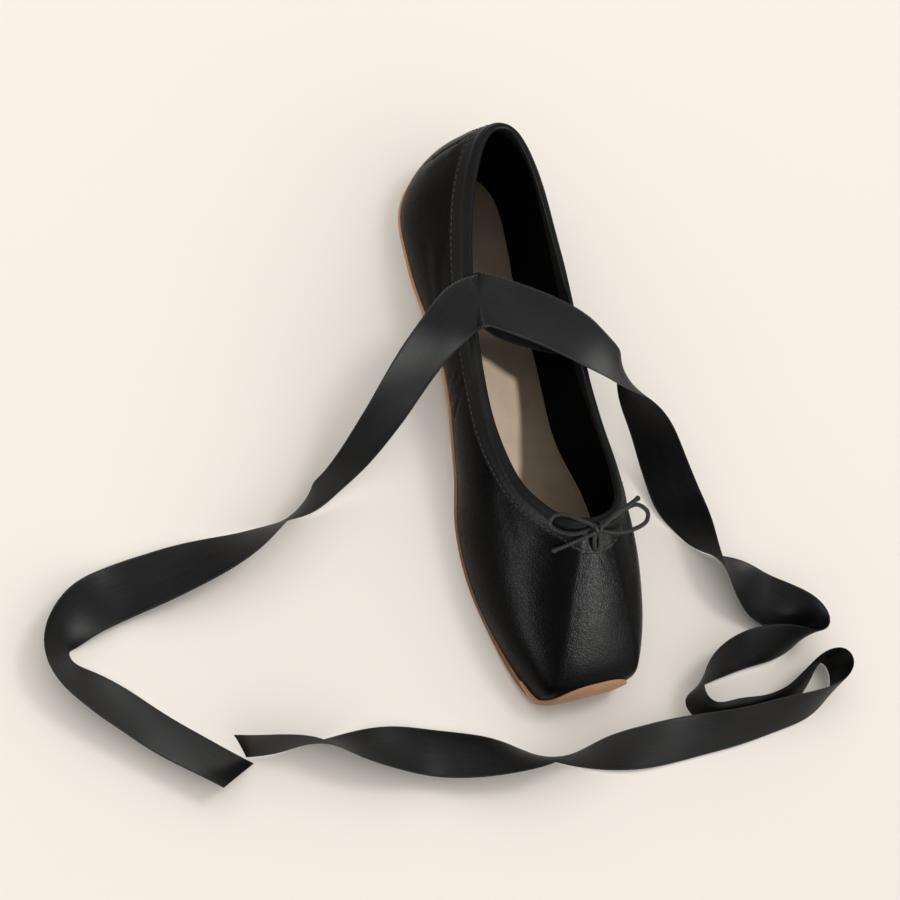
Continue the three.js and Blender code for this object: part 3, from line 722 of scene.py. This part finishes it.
BINDING_ROUND = np.linspace(0, ROUND, ROUND * 28, endpoint=False)
binding_points = binding_section(BINDING_ROUND)
binding = add_piece("collar_binding", binding_points,
                    grid_faces(*binding_points.shape[:2], ring_rows=True), "satin_upper")
thicken(binding, 0.5 * MM)
print("collar length, mm:", round(float(distance_along(on_last(BINDING_ROUND, 1.0))[-1] / MM)))

# %% [markdown]
# ## Stitches
#
# One row of running stitches holds the binding, a millimetre above its edge. Each stitch is a
# short bar of thread that sinks a little at both ends, so it is a small closed capsule. All of
# them are made at once: one array of starts, one of ends, and the same few circles between them.

# %% Stitches
STITCH, STITCH_GAP, THREAD = 2.0 * MM, 0.8 * MM, 0.42 * MM
STITCH_FROM_EDGE = 1.1 * MM
BAR_ALONG = np.array([0.0, 0.08, 0.3, 0.7, 0.92, 1.0])
BAR_RADIUS = np.array([0.15, 0.7, 1.0, 1.0, 0.7, 0.15])
BAR_SIDES = 8


def thread_bars(name, starts, ends, normals):
    """One mesh of small capsules from each start to its end; the middle stands highest."""
    along = ends - starts
    side = unit(np.cross(normals, along))
    turn = np.linspace(0, 2 * np.pi, BAR_SIDES, endpoint=False)
    t = BAR_ALONG[None, :, None, None]
    arch = (0.14 * MM * np.sin(np.pi * BAR_ALONG) - 0.1 * MM)[None, :, None, None]
    start, along, side, up = (rows[:, None, None, :] for rows in (starts, along, side, normals))
    circle = np.cos(turn)[:, None] * side + np.sin(turn)[:, None] * up
    points = start + t * along + arch * up + THREAD / 2 * BAR_RADIUS[None, :, None, None] * circle
    rings = len(BAR_ALONG)
    wall = grid_faces(rings, BAR_SIDES, ring_columns=True)[:, ::-1]
    base = np.arange(len(starts)) * rings * BAR_SIDES
    walls = (base[:, None, None] + wall).reshape(-1, 4)
    ring = np.arange(BAR_SIDES)
    first = base[:, None] + ring[::-1]
    last = base[:, None] + (rings - 1) * BAR_SIDES + ring
    return add_piece(name, points, walls.tolist() + first.tolist() + last.tolist(), "satin_upper")


def stitch_row(name, u, down, lift, first):
    """Stitches at even steps along places on the satin; they begin `first` along the line."""
    line, normal = (rows.reshape(-1, 3) for rows in on_satin(u, down, lift))
    along = distance_along(line)
    begin = np.arange(first, along[-1] - STITCH, STITCH + STITCH_GAP)

    def at(where, rows):
        return np.stack([np.interp(where, along, column) for column in rows.T], axis=-1)

    print(f"{name}: {len(begin)} stitches")
    return thread_bars(name, at(begin, line), at(begin + STITCH, line),
                       unit(at(begin + STITCH / 2, normal)))


whole_round = np.linspace(0, ROUND, ROUND * 40 + 1)
row_down = binding_depth(whole_round) - STITCH_FROM_EDGE
binding_stitches = stitch_row("binding_stitches", whole_round, row_down[:, None],
                              BINDING_THICK - 0.02 * MM, 0.4 * MM)

# %% [markdown]
# ## The back seam's tape
#
# A narrow tape of the same satin covers the seam up the back of the heel. It is a strip laid on
# the surface between the binding and the sole, raised by its own thickness.

# %% Heel tape
TAPE_HALF = 0.21  # of a rib, about 4 mm
tape_u = np.linspace(-TAPE_HALF, TAPE_HALF, 15)
tape_reach = rib_lengths(tape_u)[:, -1:]
tape_down = 8.2 * MM + (tape_reach - 8.6 * MM) * np.linspace(1, 0, 70)[None, :]
tape_edge = 1 - np.abs(tape_u / TAPE_HALF) ** 6
tape_points, _ = on_satin(tape_u, tape_down, 0.06 * MM + 0.34 * MM * tape_edge[:, None])
heel_tape = add_piece("heel_tape", tape_points, grid_faces(*tape_points.shape[:2]), "satin_upper")
thicken(heel_tape, 0.3 * MM)
seam_down = np.linspace(10 * MM, float(tape_reach.min()) - 2 * MM, 200)[None, :]
tape_rows = [stitch_row(name, np.array([u]), seam_down, 0.36 * MM, 0.0)
             for name, u in (("heel_stitches_right", 0.14), ("heel_stitches_left", -0.14))]

# %% [markdown]
# ## Sole and sock
#
# The outsole is suede-side-out leather, two millimetres thick, cut to the last's edge and skived
# round its rim. The sock inside is a thin card covered in cloth. Both are plates: a profile of
# (out, height) pairs is carried round the edge, and rungs from right to left close the top and
# the bottom. The rungs are lifted or dished by a parabola, so that the plates aren't ruled flat.

# %% Plates
PLATE_RUNGS = 14
PLATE_STATIONS = ROUND * 16


def edge_line(u, out):
    """The sole's edge at u ribs round, moved out square to itself in plan, in the straight last."""
    s, h = from_heel(u), 1e-3
    x, y = np.moveaxis(rib(s)[..., :2], -1, 0)
    run = unit((rib(np.minimum(s + h, TOE)) - rib(np.maximum(s - h, 0)))[..., :2])
    ends = (s < h) | (s > TOE - h)
    y_out = np.where(ends, 0.0, np.maximum(0, y + run[..., 0] * out))
    return x - run[..., 1] * out, side_of(u) * y_out


def plate(name, slot, replaced, out_at, profile, dish):
    """A closed plate. `profile` rows are (further out, height), from the inner bottom round the
    rim to the inner top; `dish` gives how far the middle of the bottom and top rungs is moved."""
    count = PLATE_STATIONS
    u = np.linspace(0, ROUND, count, endpoint=False)
    profile = np.asarray(profile) * MM
    x, y = edge_line(u[:, None], out_at(u)[:, None] + profile[None, :, 0])
    rim = placed(x, y, underside(x) + profile[None, :, 1])
    half, columns = count // 2, profile.shape[0]
    t = np.linspace(0, 1, PLATE_RUNGS + 1)[1:-1]
    sheets, numbers = [rim.reshape(-1, 3)], []
    for column, move in ((0, dish[0]), (columns - 1, dish[1])):
        right = rim[1:half, column]
        left = rim[:half:-1, column]
        inner = right[:, None] + t[None, :, None] * (left - right)[:, None]
        width = np.linalg.norm(left - right, axis=-1)[:, None]
        inner[..., 2] += move * MM * 4 * t * (1 - t) * np.clip(width / (20 * MM), 0, 1)
        start = sum(len(s) for s in sheets)
        sheets.append(inner.reshape(-1, 3))
        grid = np.empty((half + 1, PLATE_RUNGS + 1), int)
        grid[:] = (np.arange(half + 1) * columns + column)[:, None]
        grid[1:half, 1:-1] = start + np.arange((half - 1) * (PLATE_RUNGS - 1)).reshape(half - 1, -1)
        grid[1:half, -1] = np.arange(count - 1, half, -1) * columns + column
        numbers.append(grid)
    faces = grid_faces(count, columns, ring_rows=True).tolist()
    for grid, order in zip(numbers, (-1, 1)):
        body = np.stack([grid[1:-2, :-1], grid[2:-1, :-1], grid[2:-1, 1:], grid[1:-2, 1:]], -1)
        heel = np.stack([grid[0, :-1], grid[1, :-1], grid[1, 1:]], -1)
        toe = np.stack([grid[-2, 1:], grid[-2, :-1], grid[-1, :-1]], -1)
        faces += body.reshape(-1, 4)[:, ::order].tolist()
        faces += heel[:, ::order].tolist() + toe[:, ::order].tolist()
    return add_piece(name, np.vstack(sheets), faces, slot, replaced=replaced)


# %% Outsole
SOLE_LIP, TAB_THICK = 0.4 * MM, 1.0 * MM
SOLE_PROFILE = [(-4.0, 0.0), (-2.0, 0.0), (-0.9, 0.02), (-0.35, 0.16), (-0.08, 0.42), (0.0, 0.8),
                (0.0, 1.3), (-0.06, 1.66), (-0.25, 1.9), (-0.7, 2.0), (-2.2, 2.0), (-4.5, 2.0)]


def sole_out(u):
    """How far the sole stands out past the upper's edge: a small lip, more where the tab joins."""
    return SOLE_LIP + (GAP + TAB_THICK - SOLE_LIP) * smooth_step(from_heel(u), 8.5, 9.75)


outsole = plate("outsole_leather", "suede_sole", ["outsole"], sole_out, SOLE_PROFILE, (0.0, 0.0))

# %% [markdown]
# At the toe the same leather turns up over the platform as a tab, thinned to a millimetre. It is
# a shell over the last: for every place round the toe, the height where the tab stops comes from
# a short table, and the points go up the outside to it and down again inside.

# %% Toe tab
# how far from the toe's middle, and how high the tab reaches there, in mm
TAB_TOP = np.array([(0, 24.5), (6, 24.3), (9.5, 23.7), (13.5, 22), (16.5, 19), (18.5, 14),
                    (20.8, 10), (23.2, 8), (26, 7.4), (29, 7.2), (31, 7.0), (34, 6.6)])
TAB_FROM = 9.7  # ribs from the heel, on both sides
TAB_INSIDE, TAB_SIDE = 0.12 * MM, 0.35 * MM  # how far its inner face and its side ends stand off
tab_u = np.linspace(TAB_FROM, ROUND - TAB_FROM, 220)[:, None]
fine_v = np.linspace(0, 0.9, 400)[None, :]
skin = on_last(tab_u, fine_v) + (GAP + TAB_THICK) * outward(tab_u, fine_v)
toe_middle = float(placed(LENGTH, 0.0, 0.0)[1])
reach = np.interp(np.abs(skin[..., 1] - toe_middle) / MM, *TAB_TOP.T) * MM
over = (skin[..., 2] > reach).argmax(axis=1)
tab_v = eased(fine_v[0, np.maximum(over, 1)], 4, mode="edge")[:, None]
rise = np.linspace(0, 1, 26)[None, :]
tab_lift = np.where(rise > 0.9, 1 - 0.55 * ((rise - 0.9) / 0.1) ** 2, 1.0) * (GAP + TAB_THICK)
ends = np.clip(np.minimum(tab_u - TAB_FROM, ROUND - TAB_FROM - tab_u) / 0.35, 0.0, 1)
tab_lift = TAB_SIDE + (tab_lift - TAB_SIDE) * np.sqrt(ends)
under, away = on_last(tab_u, tab_v * rise), outward(tab_u, tab_v * rise)
outer, inner = under + tab_lift[..., None] * away, (under + TAB_INSIDE * away)[:, ::-1]
foot_outer, foot_inner = outer[:, :1].copy(), inner[:, -1:].copy()
foot_outer[..., 2] = foot_inner[..., 2] = foot_inner[..., 2] - 1.2 * MM
tab_points = np.concatenate([foot_outer, outer, inner, foot_inner], axis=1)
stations, columns = tab_points.shape[:2]
first, last = range(columns), range((stations - 1) * columns, stations * columns)
tab_faces = grid_faces(stations, columns, ring_columns=True).tolist() + [first[::-1], last]
toe_tab = add_piece("toe_tab", tab_points, tab_faces, "suede_sole")

# %% Sock
SOCK_PROFILE = [(-3.0, 2.35), (-0.5, 2.35), (-0.1, 2.5), (0.0, 2.9), (0.0, 3.4), (-0.15, 3.7),
                (-0.6, 3.8), (-3.0, 3.82)]
SOCK_CLEAR = 0.35 * MM
sock = plate("sock", "insole_sock", ["insole"], lambda u: -(wall_at(u) + SOCK_CLEAR), SOCK_PROFILE,
             (0.0, -0.9))

# %% [markdown]
# ## A short way to write shader maths
#
# A material is a graph of nodes. To write one as plain expressions, a small class wraps an output
# socket and overloads the arithmetic signs, and every sign adds one Math node. Any other node
# comes from one method that is given the node's type, its settings and its sockets' values.

# %% Channel and Finish
class Channel:
    """An output socket that can be added, subtracted and multiplied."""

    def __init__(self, finish, socket):
        self.finish, self.socket = finish, socket

    def __add__(self, other):
        return self.finish.maths("ADD", self, other)

    def __mul__(self, other):
        return self.finish.maths("MULTIPLY", self, other)

    def __sub__(self, other):
        return self.finish.maths("SUBTRACT", self, other)

    def __rsub__(self, other):
        return self.finish.maths("SUBTRACT", other, self)

    __radd__, __rmul__ = __add__, __mul__


class Finish:
    """A material with one main shader, whose constant values are set straight on its sockets."""

    def __init__(self, name, **constants):
        self.material = bpy.data.materials.new(name)
        self.material.use_nodes = True
        self.nodes, self.links = self.material.node_tree.nodes, self.material.node_tree.links
        self.shader = next(n for n in self.nodes if n.type == "BSDF_PRINCIPLED")
        for socket, value in constants.items():
            self.shader.inputs[socket.replace("_", " ")].default_value = value

    def node(self, kind, settings=None, inputs=None, output=0):
        """Any node: settings first, then socket values or links, by name or number."""
        made = self.nodes.new("ShaderNode" + kind)
        for setting, value in (settings or {}).items():
            setattr(made, setting, value)
        for socket, value in (inputs or {}).items():
            if isinstance(value, Channel):
                self.links.new(value.socket, made.inputs[socket])
            else:
                made.inputs[socket].default_value = value
        return Channel(self, made.outputs[output])

    def maths(self, operation, a, b=0.0):
        return self.node("Math", {"operation": operation}, {0: a, 1: b})

    def mix(self, factor, a, b):
        """Two colours, or colour channels, mixed by a factor."""
        a, b = (c if isinstance(c, Channel) else (*c, 1.0) for c in (a, b))
        return self.node("Mix", {"data_type": "RGBA"}, {0: factor, 6: a, 7: b}, output=2)

    def spread(self, value, low, high):
        """0 below `low`, 1 above `high`, eased between."""
        return self.node("MapRange", {"interpolation_type": "SMOOTHSTEP"},
                         {"Value": value, "From Min": low, "From Max": high})

    def place(self, scale=(1, 1, 1), source="Object"):
        """Places on the piece, stretched: Object coordinates, or its own map with "UV"."""
        at = self.node("TexCoord", output=source)
        return self.node("Mapping", inputs={"Vector": at, "Scale": scale})

    def map_parts(self):
        """The two numbers of the piece's own map."""
        parts = self.node("SeparateXYZ", inputs={"Vector": self.node("TexCoord", output="UV")})
        return parts, Channel(self, parts.socket.node.outputs[1])

    def noise(self, at, scale, detail=2.0, rough=0.5, twist=0.0):
        """Cloudy noise; `at` is a place, `scale` its clouds to the metre."""
        return self.node("TexNoise", inputs={"Vector": at, "Scale": scale, "Detail": detail,
                                             "Roughness": rough, "Distortion": twist})

    def mark(self, name):
        """A number stored on the piece's points."""
        return self.node("Attribute", {"attribute_name": name}, output="Fac")

    def bump(self, height, distance, **normal):
        """Relief of a height in the noise's own units, `distance` metres for 1, over a Normal."""
        return self.node("Bump", inputs={"Height": height, "Distance": distance, **normal})

    def lay(self, **channels):
        """Links channels to the shader's varying sockets and gives the material back."""
        for socket, channel in channels.items():
            self.links.new(channel.socket, self.shader.inputs[socket.replace("_", " ")])
        return self.material


def dress(material, *pieces):
    """Gives a material to finished pieces."""
    for piece in pieces:
        piece.data.materials.clear()
        piece.data.materials.append(material)
    print(f"{material.name}: on {', '.join(p.name for p in pieces)}")


# %% [markdown]
# ## Black satin
#
# Satin is woven so that long threads float on its face, so it is smooth and bright in the light
# and nearly black out of it. The colour here is almost nothing; what shows is the gloss, so the
# grain goes into the roughness and the bump. Three sizes of grain are added: single threads, the
# slubs of the yarn, and the slight unevenness of paste under the cloth.

# %% Satin
def shade(colour, times):
    """The same colour, `times` as bright."""
    return tuple(times * c for c in colour)


def satin(name, colour, rough, grain, **constants):
    """Satin of one colour: threads, slubs and unevenness in bump and in roughness."""
    f = Finish(name, **constants)
    threads = f.noise(f.place((1900, 900, 2300)), 1.0, detail=2.0, rough=0.6)
    grain_fine = f.noise(f.place(), 1250.0, detail=2.0, rough=0.6)
    slubs = f.noise(f.place((90, 420, 420)), 1.0, detail=3.0, rough=0.6)
    uneven = f.noise(f.place(), 110.0, detail=3.0, rough=0.5)
    patch = f.noise(f.place(), 38.0, detail=4.0, rough=0.6)
    speckle = f.spread(grain_fine, 0.35, 0.7)
    base = f.mix(f.spread(patch, 0.35, 0.7), shade(colour, 0.72), shade(colour, 1.3))
    base = f.mix(speckle * 0.5, base, shade(colour, 1.9))
    height = threads * 0.30 + slubs * 0.15 + grain_fine
    normal = f.bump(height, grain, Normal=f.bump(uneven, 0.00022))
    return f.lay(Base_Color=base, Roughness=rough - 0.16 * speckle + 0.10 * patch, Normal=normal)


satin_black = satin("black satin", (0.0011, 0.0011, 0.0012), 0.36, 0.00013,
                    Specular_IOR_Level=0.045)
satin_binding = satin("bias binding satin", (0.0034, 0.0035, 0.0039), 0.44, 0.00016,
                      Specular_IOR_Level=0.09, Sheen_Weight=0.01, Sheen_Roughness=0.5)
dress(satin_black, upper, heel_tape)
dress(satin_binding, binding)

# %% [markdown]
# The lining is plain cotton, dyed black: matt, with a visible over-and-under weave. Two waves at
# right angles give the weave. The thread of the stitches is black too, waxed and a bit shinier.

# %% Lining and thread
def cotton(name, colour):
    """Plain weave from two crossed waves, with a slight fuzz."""
    f = Finish(name, Specular_IOR_Level=0.03)
    settings = {"Vector": f.place(), "Scale": 300.0, "Distortion": 1.2}
    up, round_ = (f.node("TexWave", {"bands_direction": way}, settings, output=1) for way in "ZX")
    fuzz = f.noise(f.place(), 900.0, detail=3.0)
    base = f.mix(fuzz, shade(colour, 0.6), shade(colour, 1.4))
    normal = f.bump(up * round_ + 0.5 * fuzz, 0.00010)
    return f.lay(Base_Color=base, Roughness=0.82 + 0.12 * fuzz, Normal=normal)


def waxed_thread(name):
    """Black thread, a little lighter along the ply."""
    f = Finish(name, Specular_IOR_Level=0.4)
    ply = f.noise(f.place((900, 900, 900)), 1.0, detail=2.0)
    base = f.mix(ply, (0.008, 0.008, 0.008), (0.034, 0.034, 0.036))
    return f.lay(Base_Color=base, Roughness=0.42 + 0.2 * ply, Normal=f.bump(ply, 0.00008))


dress(cotton("black cotton lining", (0.0030, 0.0028, 0.0027)), lining)
dress(waxed_thread("waxed black thread"), binding_stitches, *tape_rows)

# %% [markdown]
# ## Suede and the sock's cloth
#
# The sole is leather with its flesh side out: a nap of short fibres that lie in patches, some
# lighter, some darker. Cut through, leather is paler and fuzzy, so the sole's points carry a
# number, `cut`, that is 1 on the cut edge. The sock is a smooth greige cloth over card.

# %% Leather
def suede(name):
    """Nap, brushed patches and scuffs; paler where `cut`, and dark there at the front as painted shade.
    """
    f = Finish(name, Specular_IOR_Level=0.12, Sheen_Weight=0.25, Sheen_Roughness=0.5,
               Sheen_Tint=(1.0, 0.86, 0.7, 1.0))
    nap = f.noise(f.place(), 1500.0, detail=4.0, rough=0.65)
    brushed = f.noise(f.place((170, 60, 110)), 1.0, detail=4.0, rough=0.6, twist=0.6)
    scuff = f.noise(f.place(), 26.0, detail=4.0, rough=0.62)
    base = f.mix(f.spread(brushed, 0.3, 0.72), (0.35, 0.165, 0.080), (0.49, 0.250, 0.130))
    base = f.mix(f.spread(nap, 0.3, 0.75) * 0.55, base, (0.58, 0.320, 0.175))
    base = f.mix(f.spread(scuff, 0.56, 0.74) * 0.35, base, (0.36, 0.19, 0.11))
    base = f.mix(f.mark("cut") * 0.55, base, (0.50, 0.285, 0.165))
    ahead = f.node("SeparateXYZ", inputs={"Vector": f.place()})
    # Painted shade: the cut edge is made dark from the middle of the shoe to the toe, where light
    # doesn't reach it.
    painted_front_shade = f.mark("cut") * f.spread(ahead, -0.03, 0.04)
    base = f.mix(painted_front_shade * 0.8, base, (0.080, 0.040, 0.026))
    normal = f.bump(nap + 0.5 * brushed, 0.00016)
    return f.lay(Base_Color=base, Roughness=0.86 + 0.12 * nap, Normal=normal)


def sock_cloth(name):
    """A fine weave over soft clouds of a second tone; both tones are set dark, as painted shade."""
    f = Finish(name, Specular_IOR_Level=0.2, Sheen_Weight=0.1)
    weave = f.noise(f.place((1300, 1700, 900)), 1.0, detail=2.0)
    soft = f.noise(f.place(), 45.0, detail=4.0, rough=0.6)
    # Painted shade: these colours are much darker than greige cloth, for the shade inside the shoe.
    base = f.mix(f.spread(soft, 0.3, 0.72), (0.115, 0.083, 0.055), (0.155, 0.116, 0.081))
    base = f.mix(weave * 0.5, base, (0.19, 0.148, 0.108))
    normal = f.bump(weave, 0.00005, Normal=f.bump(soft, 0.0004))
    return f.lay(Base_Color=base, Roughness=0.62 + 0.2 * weave, Normal=normal)


def mark_points(piece, name, values):
    """Stores one number a point, for a material to read."""
    layer = piece.data.attributes.new(name, "FLOAT", "POINT")
    layer.data.foreach_set("value", np.asarray(values, np.float32))


RIM_CUT = [0, 0, 0, 0.4, 1, 1, 1, 1, 0.8, 0.3, 0, 0]  # one for each row of SOLE_PROFILE
rim_cut = np.tile(RIM_CUT, PLATE_STATIONS)
cut = np.zeros(len(outsole.data.vertices))
cut[:len(rim_cut)] = rim_cut
mark_points(outsole, "cut", cut)
tab_cut = np.zeros(tab_points.shape[:2])
# A low value, which also keeps the painted shade at the front light on the tab's edge.
tab_cut[:, 24:29] = 0.3  # the points round its upper edge
mark_points(toe_tab, "cut", tab_cut.ravel())
dress(suede("tan suede"), outsole, toe_tab)
dress(sock_cloth("greige sock cloth in painted shade"), sock)

# %% [markdown]
# ## Ribbon and drawstring
#
# On ribbon the grain must follow the ribbon, so its material reads the piece's own map, which
# holds metres along and metres across. Fine lines run along it, and the firm edge is a row of small
# loops where the weft turns back; the light they catch is painted on them as lighter dots. The
# drawstring's map holds metres along and one turn round, which makes its twist a slanted wave.

# %% Ribbon and drawstring finishes
def ribbon_satin(name):
    """Lines along, weft across, and a dotted edge: a sine of the length, near both edges, raised and
    painted lighter as a painted highlight.
    """
    f = Finish(name, Specular_IOR_Level=0.085)
    along, across = f.map_parts()
    selvedge = f.spread(f.maths("ABSOLUTE", across), 10.15 * MM, 10.45 * MM)
    dots = f.maths("SINE", along * (2 * math.pi / (1.15 * MM))) * 0.5 + 0.5
    loops = selvedge * dots
    lines = f.noise(f.place((45, 2600, 1), source="UV"), 1.0, detail=3.0, rough=0.6)
    weft = f.noise(f.place((2900, 260, 1), source="UV"), 1.0, detail=2.0)
    creep = f.noise(f.place((38, 60, 1), source="UV"), 1.0, detail=3.0)
    base = f.mix(f.spread(lines, 0.35, 0.7), (0.0030, 0.0030, 0.0032), (0.0080, 0.0081, 0.0087))
    # Painted highlight: the edge loops are painted far lighter than the ribbon, for the light they
    # catch.
    base = f.mix(loops * 0.6, base, (0.050, 0.050, 0.051))
    height = lines * 0.5 + weft * 0.35 + loops * 2.2
    normal = f.bump(height, 0.000080, Normal=f.bump(creep, 0.00025))
    rough = 0.36 + 0.12 * creep + 0.12 * weft - 0.06 * lines
    return f.lay(Base_Color=base, Roughness=rough, Normal=normal)


def cord_twist(name):
    """Strands that wind round the cord: the size of a sine of its length plus its turn."""
    f = Finish(name, Specular_IOR_Level=0.25, Sheen_Weight=0.03)
    along, turn = f.map_parts()
    wound = along * (math.pi / (1.3 * MM)) + turn * (2 * math.pi)
    strands = f.maths("ABSOLUTE", f.maths("SINE", wound))
    fuzz = f.noise(f.place(), 1600.0, detail=3.0)
    base = f.mix(strands, (0.0018, 0.0018, 0.0019), (0.0075, 0.0075, 0.008))
    normal = f.bump(strands + 0.35 * fuzz, 0.00012)
    return f.lay(Base_Color=base, Roughness=0.50 + 0.15 * fuzz, Normal=normal)


dress(ribbon_satin("black satin ribbon"), ribbon_left, ribbon_right)
dress(cord_twist("black drawstring"), bow_right, bow_left, knot)

# %% [markdown]
# ## Floor and light
#
# The shoe stands on a cream studio floor, in an even sky and under one broad overhead box. Black
# satin shows nothing but what it reflects, so three more boxes are placed for their reflections
# and are seen only in gloss: a low strip on the right for the line down the side of the vamp, one
# in front for the broad band down its middle, and one behind on the left that reaches only the
# ribbons. A small lamp high on the left reaches only the sock, as a ray of it does through the
# collar. Light linking, a collection of the pieces that a light may reach, masks those two.

# %% Floor
def studio_floor(size):
    """A square floor of matt cream, with the faintest clouds."""
    mesh = bpy.data.meshes.new("floor")
    half = size / 2
    corners = [(-half, -half, 0), (half, -half, 0), (half, half, 0), (-half, half, 0)]
    mesh.from_pydata(corners, [], [(0, 1, 2, 3)])
    floor = bpy.data.objects.new("floor", mesh)
    bpy.context.scene.collection.objects.link(floor)
    f = Finish("cream floor", Roughness=0.9, Specular_IOR_Level=0.0)
    cloud = f.noise(f.place(), 2.2, detail=3.0)
    f.lay(Base_Color=f.mix(cloud, (0.82, 0.768, 0.708), (0.845, 0.795, 0.735)))
    mesh.materials.append(f.material)
    return floor


floor = studio_floor(12.0)

# %% Lights
TARGET = Vector((0.02, 0.0, 0.03))
WARM = (1.0, 0.99, 0.97)


def softbox(name, direction, distance, size, watts, for_gloss=False, only=()):
    """An area light of `size` metres, at `distance` along `direction` from the shoe and facing it.
    One `for_gloss` is seen in reflections and adds nothing to matt surfaces, and one with `only`
    some pieces is masked off from everything else."""
    data = bpy.data.lights.new(name, "AREA")
    data.shape, data.size, data.size_y = "RECTANGLE", size[0], size[1]
    data.energy, data.color = watts, WARM
    light = bpy.data.objects.new(name, data)
    way = Vector(direction).normalized()
    light.location = TARGET + distance * way
    light.rotation_euler = way.to_track_quat("Z", "Y").to_euler()
    light.visible_diffuse = not for_gloss
    if only:
        masked = bpy.data.collections.new(name + " reaches")
        for piece in only:
            masked.objects.link(piece)
        light.light_linking.receiver_collection = masked
    bpy.context.scene.collection.objects.link(light)
    return light


softbox("key", (-0.25, 0.30, 0.95), 2.0, (0.5, 0.5), 8.0)
softbox("overhead", (-0.45, -0.35, 1.0), 3.2, (3.2, 3.2), 42.0)
softbox("side strip", (0.30, -0.94, 0.13), 1.0, (0.75, 0.07), 11.0, for_gloss=True)
softbox("front box", (0.67, 0.40, 0.62), 1.3, (0.20, 0.34), 27.0, for_gloss=True)
softbox("sock lamp", (0.22, 0.38, 0.90), 1.2, (0.08, 0.08), 35.0, only=[sock])
softbox("ribbon box", (-0.65, 0.65, 0.42), 1.2, (0.7, 0.5), 21.0, for_gloss=True,
        only=[ribbon_left, ribbon_right])

world = bpy.data.worlds.new("studio")
world.use_nodes = True
sky = next(n for n in world.node_tree.nodes if n.type == "BACKGROUND")
sky.inputs["Color"].default_value = (*WARM, 1.0)
sky.inputs["Strength"].default_value = 0.69
bpy.context.scene.world = world
bpy.context.scene.view_settings.view_transform = "Standard"
bpy.context.scene.view_settings.look = "None"
